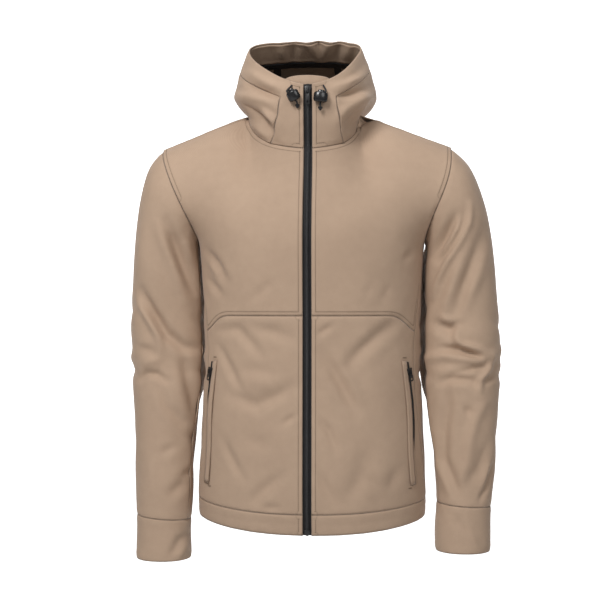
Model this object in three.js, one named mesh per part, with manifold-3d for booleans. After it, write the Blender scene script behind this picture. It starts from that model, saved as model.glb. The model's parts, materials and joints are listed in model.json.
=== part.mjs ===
// Hooded softshell jacket, worn form with no wearer inside.
// Millimetres, +Z up, the zip faces -Y, the origin is at the middle of the neck.
import * as THREE from 'three';
import { mergeVertices } from 'three/addons/utils/BufferGeometryUtils.js';
import Module from 'manifold-3d';

// Driving sizes
const WALL = 2.0;
const SEAM_GAP = 0.34;
const ZIP_HALF_OPENING = 7;
const CLOTH_ROUNDNESS = 0.88;
const SHOULDER_COLUMNS = 7;
const NECK_COLUMNS = 5;
const FRONT_COLUMNS = SHOULDER_COLUMNS + NECK_COLUMNS;
const CHEST_Z = -210;
const YOKE_ROWS = 8;
const SLEEVE_AROUND = 2 * YOKE_ROWS;
const CAP_ROWS = 5;
const RING_STEPS = 2;
const ARMHOLE_PULL = 2.4;

// Each table row becomes an object with the column names
function table(columns, rows) {
  return rows.map((row) => Object.fromEntries(columns.map((name, at) => [name, row[at]])));
}

// Level sections of the body, from the hem up to the underarm.
// frontDrop and backDrop lower the middle of the row, seamAngle is where front and back meet.
const BODY_SECTIONS = table(
  ['z', 'halfWidth', 'front', 'back', 'frontDrop', 'backDrop', 'seamAngle', 'chestDrop'],
  [
    [-668, 195, 134, 124, 16, 14, 81, 0],
    [-638, 196, 138, 128, 12, 10, 80, 0],
    [-606, 195, 140, 129, 9, 7, 79, 0],
    [-572, 194, 139, 127, 6, 5, 76, 0],
    [-538, 192, 138, 125, 4, 3, 73, 0],
    [-504, 191, 137, 122, 2, 2, 70, 0],
    [-470, 189, 136, 120, 0, 0, 68, 0],
    [-436, 187, 135, 118, 0, 0, 67, 2],
    [-400, 186, 134, 117, 0, 0, 67, 8],
    [-364, 186, 134, 118, 0, 0, 67, 17],
    [-329, 187, 135, 120, 0, 0, 68, 26],
    [-298, 188, 137, 123, 0, 0, 71, 14],
    [-268, 189, 139, 126, 0, 0, 76, 5],
    [-238, 191, 141, 129, 0, 0, 83, 0],
    [CHEST_Z, 193, 142, 131, 0, 0, 90, 0],
  ],
);
const HEM_SEAM_ROW = 1;
const CHEST_SEAM_ROW = 10;

// Half of the neck seam, from the zip to the shoulder and on to the middle of the back
const FRONT_NECK = table(['x', 'y', 'z'], [
  [7, -104, -54], [33, -98, -51], [61, -82, -43], [81, -60, -29], [92, -34, -9], [96, -8, 15],
]);
const BACK_NECK = table(['x', 'y', 'z'], [
  [96, -8, 15], [94, 19, 24], [84, 44, 24], [64, 62, 19], [35, 74, 14], [0, 78, 12],
]);
// Shoulder seam from the neck out to the sleeve
const SHOULDER_SEAM = table(['along', 'x', 'y', 'z'], [
  [0, 96, -8, 15], [0.25, 132, -11, 3], [0.5, 172, -10, -12], [0.75, 213, -6, -27], [1, 249, 0, -39],
]);
// Armhole from the underarm up to the end of the shoulder seam
const FRONT_ARMHOLE = table(['along', 'x', 'y', 'z'], [
  [0, 193, 0, -210], [0.14, 194, -36, -198], [0.28, 202, -63, -173], [0.42, 213, -77, -148],
  [0.56, 227, -77, -117], [0.7, 238.5, -66, -86], [0.85, 246, -42, -57], [1, 249, 0, -41],
]);
const BACK_ARMHOLE = table(['along', 'x', 'y', 'z'], [
  [0, 193, 0, -210], [0.14, 195, 38, -200], [0.28, 204, 68, -175], [0.42, 217, 84, -148],
  [0.56, 231, 84, -115], [0.7, 240.5, 72, -83], [0.85, 247, 44, -54], [1, 249, 0, -41],
]);

// Sections of each sleeve below the cap, ending with the cuff
const SLEEVE_COLUMNS = ['z', 'x', 'y', 'halfWidth', 'halfDepth', 'tilt'];
const LEFT_SLEEVE = table(SLEEVE_COLUMNS, [
  [-250, 257, 2, 56, 72, 6], [-274, 257.5, 3, 57, 70, 4], [-302, 258.5, 4, 57.5, 68, 2],
  [-331, 259, 5, 58, 66, 0], [-362, 259, 5, 59, 66, 0], [-394, 258.5, 4, 58.5, 65, 0],
  [-426, 257, 2, 57, 64, 0], [-458, 256, -2, 56.5, 62, 0], [-490, 255, -6, 55, 60, 0],
  [-522, 254, -11, 53.5, 57, 0], [-554, 253.5, -16, 52.5, 55, 0], [-586, 253, -20, 51.5, 53, 0],
  [-618, 252.5, -24, 51, 51, 0], [-646, 252.5, -27, 49.5, 49, -2], [-672, 252.5, -30, 47.5, 47, -4],
  [-696, 252.5, -32, 47.5, 46, -3], [-720, 252, -34, 48.5, 46, -2], [-742, 252, -36, 48, 45, 0],
]);
const RIGHT_SLEEVE = table(SLEEVE_COLUMNS, [
  [-250, 258, 2, 56.5, 72, 6], [-274, 258.5, 3, 57.5, 70, 4], [-302, 259.5, 4, 59, 68, 2],
  [-330, 260.5, 5, 60, 66, 0], [-359, 261.5, 5, 61.5, 67, 0], [-388, 261.5, 3, 61, 66, 0],
  [-416, 262, 0, 62.5, 66, 0], [-444, 261, -3, 61, 63, 0], [-473, 260, -7, 59, 60, 0],
  [-502, 260, -11, 57.5, 57, 0], [-531, 260, -16, 56, 55, 0], [-560, 260, -20, 54, 53, 0],
  [-589, 260, -24, 51.5, 51, 0], [-618, 259, -27, 48.5, 49, 2], [-645, 258, -30, 46.5, 47, 3],
  [-671, 256.5, -32, 47, 46, 2], [-697, 256, -34, 48, 46, 1], [-722, 256, -36, 47, 45, 0],
]);
const CUFF_SECTION = 14;
// The inner back of each sleeve hangs in behind the side of the body
const TUCK_AROUND = 14;
const TUCK_NARROWNESS = 12;
const TUCK = table(['z', 'left', 'right'], [
  [-510, 0, 0], [-480, 12, 20], [-450, 29, 35], [-410, 32, 38], [-330, 33, 40], [-300, 32, 39],
  [-272, 30, 38], [-250, 25, 36],
]);
// The inner front of each sleeve fills out towards the side of the body
const REACH_AROUND = 1.5;
const REACH_NARROWNESS = 6;
const REACH = table(['z', 'left', 'right'], [
  [-570, 0, 0], [-540, 5, 5], [-512, 9, 8], [-490, 12, 11], [-458, 15, 13], [-394, 17, 13],
  [-331, 17, 13], [-302, 17, 13], [-274, 15, 13], [-250, 12, 13],
]);
const FRONT_SLEEVE_SEAM = 1;
const BACK_SLEEVE_SEAM = 12;

// Rings of one half of the hood, named by where they lie. around runs 0 at the zip to 10 at the back.
const RING_COLUMNS = ['around', 'x', 'y', 'z'];
const HOOD_RINGS = [
  table(RING_COLUMNS, [
    [0, 7, -108, -34], [2, 56, -94, -28], [4, 94, -50, 4], [5, 101, -16, 26],
    [6, 104, 20, 33], [8, 92, 82, 14], [10, 0, 122, 2],
  ]),
  table(RING_COLUMNS, [
    [0, 7, -112, -14], [2, 53, -103, -10], [4, 103, -68, 20], [5, 118, -36, 38],
    [6, 126, 8, 46], [8, 110, 106, 40], [10, 0, 152, 42],
  ]),
  table(RING_COLUMNS, [
    [0, 7, -115, 2], [2, 49, -107, 8], [4, 98, -70, 38], [5, 112, -38, 54],
    [6, 121, 2, 66], [8, 104, 80, 88], [10, 0, 114, 98],
  ]),
  table(RING_COLUMNS, [
    [0, 7, -117, 20], [2, 47, -109, 31], [4, 91, -67, 59], [5, 105, -38, 74],
    [6, 114, -4, 90], [8, 95, 36, 112], [10, 0, 46, 121],
  ]),
  table(RING_COLUMNS, [
    [0, 7, -118, 49], [2, 45, -98, 64], [4, 80, -60, 95], [5, 92, -36, 112],
    [6, 99, -12, 128], [8, 78, 4, 143], [10, 0, 8, 146],
  ]),
];
const HOOD_ROWS = RING_STEPS * HOOD_RINGS.length;
const CASING_ROW = RING_STEPS * 4;
const FRONT_STRIP_COLUMNS = 2;
const CENTRE_STRIP_COLUMN = 9;

// The neck stands a little off to one side as worn
const LEAN = table(['z', 'shift'], [[-700, 0], [-200, 0], [-100, -5], [-40, -10], [20, -13], [160, -11]]);
const LEAN_FROM_Y = -115;
const LEAN_TO_Y = -30;

// Larger folds. face -1 lies on the front and 1 on the back, height is out of the cloth.
const FOLDS = table(['face', 'x1', 'z1', 'x2', 'z2', 'width', 'height'], [
  [-1, -251, -160, -214, -262, 14, -4], [-1, -226, -150, -203, -232, 11, 3],
  [-1, -293, -285, -262, -345, 15, -4], [-1, -268, -330, -205, -388, 14, -4],
  [-1, -290, -330, -268, -385, 14, 4], [-1, -297, -436, -240, -434, 13, -4],
  [-1, -290, -462, -226, -470, 16, 3], [-1, -205, -455, -196, -510, 12, -3],
  [-1, 247, -160, 205, -232, 13, -4], [-1, 268, -140, 214, -262, 14, 4],
  [-1, 289, -235, 256, -338, 15, -4], [-1, 238, -340, 226, -366, 15, -5],
  [-1, 215, -386, 292, -400, 11, -5], [-1, 205, -404, 305, -402, 12, 5],
  [-1, 212, -426, 300, -418, 13, -4], [-1, 205, -455, 252, -560, 16, -3],
  [-1, 244, -440, 258, -545, 14, 3], [-1, 292, -585, 268, -635, 12, -3],
  [-1, -111, -352, -70, -402, 14, -3], [-1, -148, -380, -124, -425, 13, -3],
  [-1, 46, -400, 96, -488, 16, -3], [-1, 132, -372, 62, -422, 15, -3],
  [-1, -168, -245, -146, -285, 14, -3], [-1, -160, -490, -40, -560, 22, 2.5],
  [-1, 40, -545, 140, -600, 22, 2.5], [-1, -60, -120, -150, -205, 26, 2.5],
  [-1, 60, -110, 150, -190, 26, 2.5],
  [1, -120, -150, -40, -280, 24, -4], [1, 130, -160, 50, -290, 24, -4],
  [1, -150, -330, -30, -370, 18, -4], [1, 140, -350, 20, -400, 18, -4],
  [1, -110, -410, 60, -440, 18, -3], [1, -60, -520, 90, -560, 22, 3],
  [1, -250, -160, -210, -270, 16, -4], [1, 250, -165, 212, -275, 16, -4],
  [1, -300, -370, -215, -400, 14, -4], [1, -295, -430, -212, -440, 14, -4],
  [1, 212, -375, 300, -405, 14, -4], [1, 215, -440, 302, -425, 14, -4],
  [1, -280, -520, -240, -610, 15, 3], [1, 285, -520, 240, -600, 15, 3],
]);

// Colours
const SHELL = { color: 0xa68f76, roughness: 0.82, metalness: 0 };
const SHELL_SHADE = { color: 0xa38b72, roughness: 0.82, metalness: 0 };
const INNER = { color: 0x6f5f50, roughness: 0.9, metalness: 0 };
const BLACK_TAPE = { color: 0x17181a, roughness: 0.75, metalness: 0 };
const BLACK_COIL = { color: 0x141517, roughness: 0.5, metalness: 0 };
const BLACK_METAL = { color: 0x101113, roughness: 0.32, metalness: 0.6 };
const BLACK_PLASTIC = { color: 0x101012, roughness: 0.3, metalness: 0 };
const CORD_BLACK = { color: 0x1a1a1c, roughness: 0.8, metalness: 0 };

// Small helpers
const vec = (x, y, z) => new THREE.Vector3(x, y, z);
const clamp = (value, low, high) => Math.min(high, Math.max(low, value));
const signedPower = (value, power) => Math.sign(value) * Math.abs(value) ** power;

function ease(from, to, value) {
  const t = clamp((value - from) / (to - from), 0, 1);
  return t * t * (3 - 2 * t);
}

// Smooth value of one column of a table at a place along its first column
function readTable(rows, key, column, at) {
  const descending = rows[0][key] > rows[rows.length - 1][key];
  const ordered = descending ? [...rows].reverse() : rows;
  let low = 0;
  while (low < ordered.length - 2 && ordered[low + 1][key] <= at) low += 1;
  const slope = (index) => {
    const before = ordered[Math.max(0, index - 1)];
    const after = ordered[Math.min(ordered.length - 1, index + 1)];
    return (after[column] - before[column]) / (after[key] - before[key]);
  };
  const here = ordered[low];
  const next = ordered[low + 1];
  const span = next[key] - here[key];
  const t = clamp((at - here[key]) / span, 0, 1);
  return hermite(here[column], slope(low) * span, next[column], slope(low + 1) * span, t);
}

function hermite(start, startSlope, end, endSlope, t) {
  const t2 = t * t;
  const t3 = t2 * t;
  return start * (2 * t3 - 3 * t2 + 1) + startSlope * (t3 - 2 * t2 + t)
    + end * (3 * t2 - 2 * t3) + endSlope * (t3 - t2);
}

function hermitePoint(start, startSlope, end, endSlope, t) {
  return vec(
    hermite(start.x, startSlope.x, end.x, endSlope.x, t),
    hermite(start.y, startSlope.y, end.y, endSlope.y, t),
    hermite(start.z, startSlope.z, end.z, endSlope.z, t),
  );
}

function readPoint(rows, key, at) {
  return vec(readTable(rows, key, 'x', at), readTable(rows, key, 'y', at), readTable(rows, key, 'z', at));
}

// Body below the underarm. column 0 is at the zip, FRONT_COLUMNS at the side seam.
function bodyPoint(row, column) {
  const section = BODY_SECTIONS[row];
  const seam = THREE.MathUtils.degToRad(section.seamAngle);
  const behind = (column - FRONT_COLUMNS) / FRONT_COLUMNS;
  const angle = column <= FRONT_COLUMNS
    ? (seam * column) / FRONT_COLUMNS
    : seam + (Math.PI - seam) * behind;
  const facing = Math.cos(angle);
  const reach = facing > 0 ? section.front : section.back;
  const drop = (facing > 0 ? section.frontDrop : section.backDrop) * facing * facing;
  const nearSeam = column <= FRONT_COLUMNS
    ? ease(FRONT_COLUMNS - 4, FRONT_COLUMNS, column)
    : 1 - ease(FRONT_COLUMNS, FRONT_COLUMNS + 4, column);
  const x = section.halfWidth * signedPower(Math.sin(angle), CLOTH_ROUNDNESS);
  return vec(
    column === 0 ? ZIP_HALF_OPENING : Math.max(x, 0),
    -reach * signedPower(facing, CLOTH_ROUNDNESS),
    section.z - drop - section.chestDrop * nearSeam,
  );
}

// Top edge of the body: neck seam and shoulder seam, front then back
function bodyTop(column) {
  const last = 2 * FRONT_COLUMNS;
  if (column <= NECK_COLUMNS) return vec(...Object.values(FRONT_NECK[column]));
  if (column <= FRONT_COLUMNS) {
    return readPoint(SHOULDER_SEAM, 'along', (column - NECK_COLUMNS) / SHOULDER_COLUMNS);
  }
  if (column <= last - NECK_COLUMNS) {
    return readPoint(SHOULDER_SEAM, 'along', (last - NECK_COLUMNS - column) / SHOULDER_COLUMNS);
  }
  return vec(...Object.values(BACK_NECK[column - last + NECK_COLUMNS]));
}

// Body above the underarm, one half, either the front or the back
function yokePoint(step, column, atFront) {
  const along = step / YOKE_ROWS;
  const across = atFront ? column / FRONT_COLUMNS : (2 * FRONT_COLUMNS - column) / FRONT_COLUMNS;
  const outward = ease(0.28, 0.6, across);
  const bottom = (place) => bodyPoint(BODY_SECTIONS.length - 1, place);
  const overShoulder = atFront ? vec(0, 0.8, 0.6) : vec(0, -0.95, -0.25);
  const atNeck = atFront ? vec(0, 0.22, 0.97) : vec(0, -0.3, 0.95);
  const column3d = (place) => {
    const start = bottom(place);
    const end = bodyTop(place);
    const length = start.distanceTo(end);
    const endSlope = atNeck.clone().lerp(overShoulder, outward).normalize().multiplyScalar(length * 0.75);
    const startSlope = vec((end.x - start.x) * 0.5, atFront ? 0 : 6, length * 1.05);
    return hermitePoint(start, startSlope, end, endSlope, along);
  };
  const plain = column3d(column);
  const edge = readPoint(atFront ? FRONT_ARMHOLE : BACK_ARMHOLE, 'along', along);
  const pull = edge.sub(column3d(FRONT_COLUMNS)).multiplyScalar(across ** ARMHOLE_PULL);
  return plain.add(pull);
}

// Armhole seam point. around 0 is the underarm, then up the front, over and down the back.
function armholePoint(around) {
  const front = around <= YOKE_ROWS;
  const along = front ? around / YOKE_ROWS : (SLEEVE_AROUND - around) / YOKE_ROWS;
  return readPoint(front ? FRONT_ARMHOLE : BACK_ARMHOLE, 'along', along);
}

function sleeveSectionPoint(section, around) {
  const turn = (2 * Math.PI * around) / SLEEVE_AROUND;
  const behind = Math.max(0, Math.cos(turn - (2 * Math.PI * TUCK_AROUND) / SLEEVE_AROUND));
  const tuck = section.tuck * behind ** TUCK_NARROWNESS;
  const before = Math.max(0, Math.cos(turn - (2 * Math.PI * REACH_AROUND) / SLEEVE_AROUND));
  const reach = section.reach * before ** REACH_NARROWNESS;
  const outward = -signedPower(Math.cos(turn), 0.94);
  const forward = signedPower(Math.sin(turn), 0.94);
  return vec(
    section.x + section.halfWidth * outward - tuck - reach,
    section.y - section.halfDepth * forward,
    section.z - section.tilt * outward,
  );
}

// Sleeve from the armhole down to the open end of the cuff
function sleevePoint(sections, row, around) {
  if (row >= CAP_ROWS) return sleeveSectionPoint(sections[row - CAP_ROWS], around);
  const turn = (2 * Math.PI * around) / SLEEVE_AROUND;
  const outward = (1 - Math.cos(turn)) / 2;
  const forward = Math.sin(turn);
  const start = armholePoint(around);
  const end = sleeveSectionPoint(sections[0], around);
  const length = start.distanceTo(end);
  const leave = vec(0.95, -0.35 * forward, -0.3).normalize();
  leave.multiplyScalar(length * (0.5 + 0.18 * outward));
  const arrive = vec(0.05 * outward, 0, -1).multiplyScalar(length * (0.8 + 0.1 * outward));
  return hermitePoint(start, leave, end, arrive, row / CAP_ROWS);
}

// Hood from the neck seam, row 0, to the edge of the face opening
function hoodPoint(row, around) {
  const seam = around <= NECK_COLUMNS ? FRONT_NECK[around] : BACK_NECK[around - NECK_COLUMNS];
  const stations = [
    { row: 0, x: seam.x, y: seam.y, z: seam.z },
    ...HOOD_RINGS.map((ring, index) => {
      const mirrored = ring[ring.length - 2];
      const closed = [...ring, { around: 12, x: -mirrored.x, y: mirrored.y, z: mirrored.z }];
      const point = readPoint(closed, 'around', around);
      return { row: RING_STEPS * (index + 1), x: point.x, y: point.y, z: point.z };
    }),
  ];
  return readPoint(stations, 'row', row);
}

function foldAt(x, z, facing) {
  let sum = 0;
  for (const fold of FOLDS) {
    const seen = ease(0.05, 0.5, facing * fold.face);
    if (seen === 0) continue;
    const dx = fold.x2 - fold.x1;
    const dz = fold.z2 - fold.z1;
    const along = clamp(((x - fold.x1) * dx + (z - fold.z1) * dz) / (dx * dx + dz * dz), 0, 1);
    const away = Math.hypot(x - fold.x1 - dx * along, z - fold.z1 - dz * along);
    sum += seen * fold.height * Math.exp(-((away / fold.width) ** 2));
  }
  return sum;
}

function lean(point) {
  const shift = readTable(LEAN, 'z', 'shift', point.z);
  return vec(point.x + shift * ease(LEAN_FROM_Y, LEAN_TO_Y, point.y), point.y, point.z);
}

// One net of cloth. Every piece is a list of four-sided cells between its shared points.
const net = { points: [], keys: new Map(), normals: [], reach: [] };

function netPoint(x, y, z) {
  const settled = lean(vec(x, y, z));
  const key = settled.toArray().map((value) => Math.round(value * 200)).join(' ');
  if (!net.keys.has(key)) {
    net.keys.set(key, net.points.length);
    net.points.push(settled);
  }
  return net.keys.get(key);
}

// The same cell seen from its other side
const flipped = (cell) => [...cell].reverse();

// Cells of a block. place(row, column) gives a point on one side, side is -1 left or 1 right.
function cells(rowFrom, rowTo, columnFrom, columnTo, place, side) {
  const list = [];
  for (let row = rowFrom; row < rowTo; row += 1) {
    for (let column = columnFrom; column < columnTo; column += 1) {
      const corners = [[row, column], [row, column + 1], [row + 1, column + 1], [row + 1, column]];
      const cell = corners.map(([atRow, atColumn]) => {
        const point = place(atRow, atColumn);
        return netPoint(point.x * side, point.y, point.z);
      });
      list.push(side > 0 ? cell : flipped(cell));
    }
  }
  return list;
}

const body = (from, to, first, last, side) => cells(from, to, first, last, bodyPoint, side);
const yoke = (first, last, atFront, side) => cells(
  0, YOKE_ROWS, first, last, (row, column) => yokePoint(row, column, atFront), side,
);
const hood = (from, to, first, last, side) => cells(from, to, first, last, hoodPoint, side);

const besideBody = (sections, name) => sections.map((section) => ({
  ...section,
  tuck: readTable(TUCK, 'z', name, section.z),
  reach: readTable(REACH, 'z', name, section.z),
}));
const sides = [
  ['left', -1, besideBody(LEFT_SLEEVE, 'left')], ['right', 1, besideBody(RIGHT_SLEEVE, 'right')],
];
const both = (make) => [...make(-1), ...make(1)];
const topRow = BODY_SECTIONS.length - 1;
const backEdge = 2 * FRONT_COLUMNS;
const sleeveRows = CAP_ROWS + LEFT_SLEEVE.length - 1;
const cuffRow = CAP_ROWS + CUFF_SECTION;
const hoodBack = 2 * NECK_COLUMNS;

const pieces = new Map();
pieces.set('hem_band', both((side) => body(0, HEM_SEAM_ROW, 0, backEdge, side)));
pieces.set('back', both((side) => [
  ...body(HEM_SEAM_ROW, topRow, FRONT_COLUMNS, backEdge, side),
  ...yoke(FRONT_COLUMNS, backEdge, false, side),
]));
for (const [name, side, sections] of sides) {
  const mirrored = (from, to, first, last) => cells(
    from, to, first, last,
    (row, column) => sleevePoint(sections, row, (column + SLEEVE_AROUND) % SLEEVE_AROUND), side,
  ).map(flipped);
  pieces.set(`front_lower_${name}`, body(HEM_SEAM_ROW, CHEST_SEAM_ROW, 0, FRONT_COLUMNS, side));
  pieces.set(`front_upper_${name}`, [
    ...body(CHEST_SEAM_ROW, topRow, 0, FRONT_COLUMNS, side), ...yoke(0, FRONT_COLUMNS, true, side),
  ]);
  pieces.set(`top_sleeve_${name}`, mirrored(0, cuffRow, FRONT_SLEEVE_SEAM, BACK_SLEEVE_SEAM));
  pieces.set(`under_sleeve_${name}`, mirrored(
    0, cuffRow, BACK_SLEEVE_SEAM - SLEEVE_AROUND, FRONT_SLEEVE_SEAM,
  ));
  pieces.set(`cuff_${name}`, mirrored(cuffRow, sleeveRows, 0, SLEEVE_AROUND));
  pieces.set(`hood_side_${name}`, hood(0, CASING_ROW, FRONT_STRIP_COLUMNS, CENTRE_STRIP_COLUMN, side));
}
pieces.set('hood_centre', both((side) => hood(0, CASING_ROW, CENTRE_STRIP_COLUMN, hoodBack, side)));
pieces.set('hood_band', both((side) => [
  ...hood(CASING_ROW, HOOD_ROWS, 0, hoodBack, side),
  ...hood(0, CASING_ROW, 0, FRONT_STRIP_COLUMNS, side),
]));

// A seam between two parts of the jacket shares one normal, halfway between theirs
function gatherNormals() {
  const shares = net.points.map(() => new Map());
  for (const [name, list] of pieces) {
    const part = name.includes('sleeve') || name.includes('cuff') ? 'sleeve' : name.slice(0, 4);
    const group = part === 'hood' || part === 'sleeve' ? part : 'body';
    for (const cell of list) {
      const [a, b, c, d] = cell.map((index) => net.points[index]);
      const normal = c.clone().sub(a).cross(d.clone().sub(b)).normalize();
      for (const index of cell) {
        if (!shares[index].has(group)) shares[index].set(group, vec(0, 0, 0));
        shares[index].get(group).add(normal);
      }
    }
  }
  shares.forEach((groups, index) => {
    const units = [...groups.values()].map((sum) => sum.normalize());
    const mean = units.reduce((sum, unit) => sum.add(unit), vec(0, 0, 0)).normalize();
    net.normals[index] = mean;
    net.reach[index] = 1 / Math.max(0.6, mean.dot(units[0]));
  });
}

gatherNormals();
net.points.forEach((point, index) => {
  const normal = net.normals[index];
  point.addScaledVector(normal, foldAt(point.x, point.z, normal.y));
});
gatherNormals();

// Points of a piece drawn in from its edges by half of the seam gap
function drawnIn(list) {
  const edges = new Map();
  for (const cell of list) {
    cell.forEach((from, at) => {
      const to = cell[(at + 1) % 4];
      edges.set(`${from} ${to}`, [from, to, cell]);
    });
  }
  const open = [...edges.values()].filter(([from, to]) => !edges.has(`${to} ${from}`));
  const inward = new Map();
  for (const [from, to] of open) {
    const along = net.points[to].clone().sub(net.points[from]).normalize();
    for (const index of [from, to]) {
      const turned = net.normals[index].clone().cross(along).normalize();
      inward.set(index, [...(inward.get(index) ?? []), turned]);
    }
  }
  const moved = new Map();
  for (const [index, turns] of inward) {
    const mean = turns.reduce((sum, turn) => sum.add(turn), vec(0, 0, 0)).normalize();
    const reach = SEAM_GAP / 2 / Math.max(0.5, mean.dot(turns[0]));
    moved.set(index, net.points[index].clone().addScaledVector(mean, reach));
  }
  return { open, moved };
}

function meshOf(name, positions, triangles, look) {
  const geometry = new THREE.BufferGeometry();
  geometry.setAttribute('position', new THREE.Float32BufferAttribute(positions, 3));
  geometry.setIndex(triangles);
  geometry.computeVertexNormals();
  const material = new THREE.MeshStandardMaterial({ ...look, side: THREE.DoubleSide });
  const mesh = new THREE.Mesh(geometry, material);
  mesh.name = name;
  return mesh;
}

// Cloth between two offsets from the net, closed along its edges
function clothMesh(name, list, outer, inner, look) {
  const { open, moved } = drawnIn(list);
  const used = [...new Set(list.flat())];
  const order = new Map(used.map((index, at) => [index, at]));
  const positions = [];
  for (const offset of [outer, inner]) {
    for (const index of used) {
      const base = moved.get(index) ?? net.points[index];
      const away = offset * net.reach[index];
      positions.push(...base.clone().addScaledVector(net.normals[index], away).toArray());
    }
  }
  const triangles = [];
  const under = used.length;
  for (const cell of list) {
    const [a, b, c, d] = cell.map((index) => order.get(index));
    triangles.push(a, b, c, a, c, d, under + a, under + c, under + b, under + a, under + d, under + c);
  }
  for (const [from, to] of open) {
    const a = order.get(from);
    const b = order.get(to);
    // Both sides of a seam split this face along the same diagonal
    if (from < to) triangles.push(b, a, under + b, a, under + a, under + b);
    else triangles.push(b, a, under + a, b, under + a, under + b);
  }
  return meshOf(name, positions, triangles, look);
}

// Rectangular patch of thin cloth over a grid of points with normals
function patchMesh(name, grid, outer, inner, look) {
  const rows = grid.length;
  const columns = grid[0].length;
  const at = (row, column, layer) => (layer * rows + row) * columns + column;
  const positions = [];
  for (const offset of [outer, inner]) {
    for (const { point, normal } of grid.flat()) {
      positions.push(...point.clone().addScaledVector(normal, offset).toArray());
    }
  }
  const triangles = [];
  const quad = (a, b, c, d) => triangles.push(a, b, c, a, c, d);
  for (let row = 0; row + 1 < rows; row += 1) {
    for (let column = 0; column + 1 < columns; column += 1) {
      quad(at(row, column, 0), at(row, column + 1, 0), at(row + 1, column + 1, 0), at(row + 1, column, 0));
      quad(at(row, column, 1), at(row + 1, column, 1), at(row + 1, column + 1, 1), at(row, column + 1, 1));
    }
  }
  for (let column = 0; column + 1 < columns; column += 1) {
    quad(at(0, column + 1, 0), at(0, column, 0), at(0, column, 1), at(0, column + 1, 1));
    const last = rows - 1;
    quad(at(last, column, 0), at(last, column + 1, 0), at(last, column + 1, 1), at(last, column, 1));
  }
  for (let row = 0; row + 1 < rows; row += 1) {
    quad(at(row, 0, 0), at(row + 1, 0, 0), at(row + 1, 0, 1), at(row, 0, 1));
    const last = columns - 1;
    quad(at(row + 1, last, 0), at(row, last, 0), at(row, last, 1), at(row + 1, last, 1));
  }
  return meshOf(name, positions, triangles, look);
}

// Place on the flat cells of a block, between its rows and columns
function onCells(place, side, row, column) {
  const lowRow = Math.floor(row);
  const lowColumn = Math.floor(column);
  const point = vec(0, 0, 0);
  const normal = vec(0, 0, 0);
  for (const [atRow, rowShare] of [[lowRow, 1 - row + lowRow], [lowRow + 1, row - lowRow]]) {
    for (const [atColumn, share] of [[lowColumn, 1 - column + lowColumn], [lowColumn + 1, column - lowColumn]]) {
      const weight = rowShare * share;
      if (weight < 1e-9) continue;
      const start = place(atRow, atColumn);
      const index = netPoint(start.x * side, start.y, start.z);
      point.addScaledVector(net.points[index], weight);
      normal.addScaledVector(net.normals[index], weight);
    }
  }
  return { point, normal: normal.normalize() };
}

// Grid over the inside of the hood from one side round the back to the other
function hoodGrid(rowList, from) {
  const steps = [];
  for (let around = from; around < hoodBack; around += 1) steps.push(around);
  const left = steps.map((around) => [-1, around]);
  const right = [...steps].reverse().map((around) => [1, around]);
  const across = [...left, [1, hoodBack], ...right];
  return rowList.map((row) => across.map(([side, around]) => onCells(hoodPoint, side, row, around)).reverse());
}

const wasm = await Module();
wasm.setup();

function solidOf(geometry) {
  const bare = new THREE.BufferGeometry();
  const source = geometry.index ? geometry.toNonIndexed() : geometry;
  bare.setAttribute('position', source.getAttribute('position').clone());
  const merged = mergeVertices(bare, 1e-4);
  return new wasm.Manifold(new wasm.Mesh({
    numProp: 3,
    vertProperties: merged.attributes.position.array,
    triVerts: new Uint32Array(merged.index.array),
  }));
}

function geometryOf(solid) {
  const made = solid.getMesh();
  const geometry = new THREE.BufferGeometry();
  geometry.setAttribute('position', new THREE.Float32BufferAttribute(made.vertProperties, 3));
  geometry.setIndex([...made.triVerts]);
  return geometry;
}

function block(x1, x2, y1, y2, z1, z2) {
  const geometry = new THREE.BoxGeometry(x2 - x1, y2 - y1, z2 - z1);
  return solidOf(geometry.translate((x1 + x2) / 2, (y1 + y2) / 2, (z1 + z2) / 2));
}

// Plate with an outline in x and y, between two heights, with round or square holes
function plate(outline, low, high, holes) {
  const shape = new THREE.Shape(outline.map(([x, y]) => new THREE.Vector2(x, y)));
  for (const hole of holes) {
    shape.holes.push(new THREE.Path(hole.map(([x, y]) => new THREE.Vector2(x, y))));
  }
  const geometry = new THREE.ExtrudeGeometry(shape, { depth: high - low, bevelEnabled: false });
  return solidOf(geometry.translate(0, 0, low));
}

function circle(x, y, radius, corners) {
  const list = [];
  for (let corner = 0; corner < corners; corner += 1) {
    const turn = (2 * Math.PI * corner) / corners;
    list.push([x + radius * Math.cos(turn), y + radius * Math.sin(turn)]);
  }
  return list;
}

// Local frame on the cloth: x across, y up along the cloth, z out of it
function frameAt(point, up, normal) {
  const out = normal.clone().normalize();
  const along = up.clone().addScaledVector(out, -up.dot(out)).normalize();
  const across = along.clone().cross(out);
  return new THREE.Matrix4().makeBasis(across, along, out).setPosition(point);
}

function placed(name, geometry, frame, look) {
  const turned = geometry.index ? geometry.toNonIndexed() : geometry.clone();
  turned.applyMatrix4(frame);
  const material = new THREE.MeshStandardMaterial(look);
  turned.computeVertexNormals();
  const mesh = new THREE.Mesh(turned, material);
  mesh.name = name;
  return mesh;
}

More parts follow.
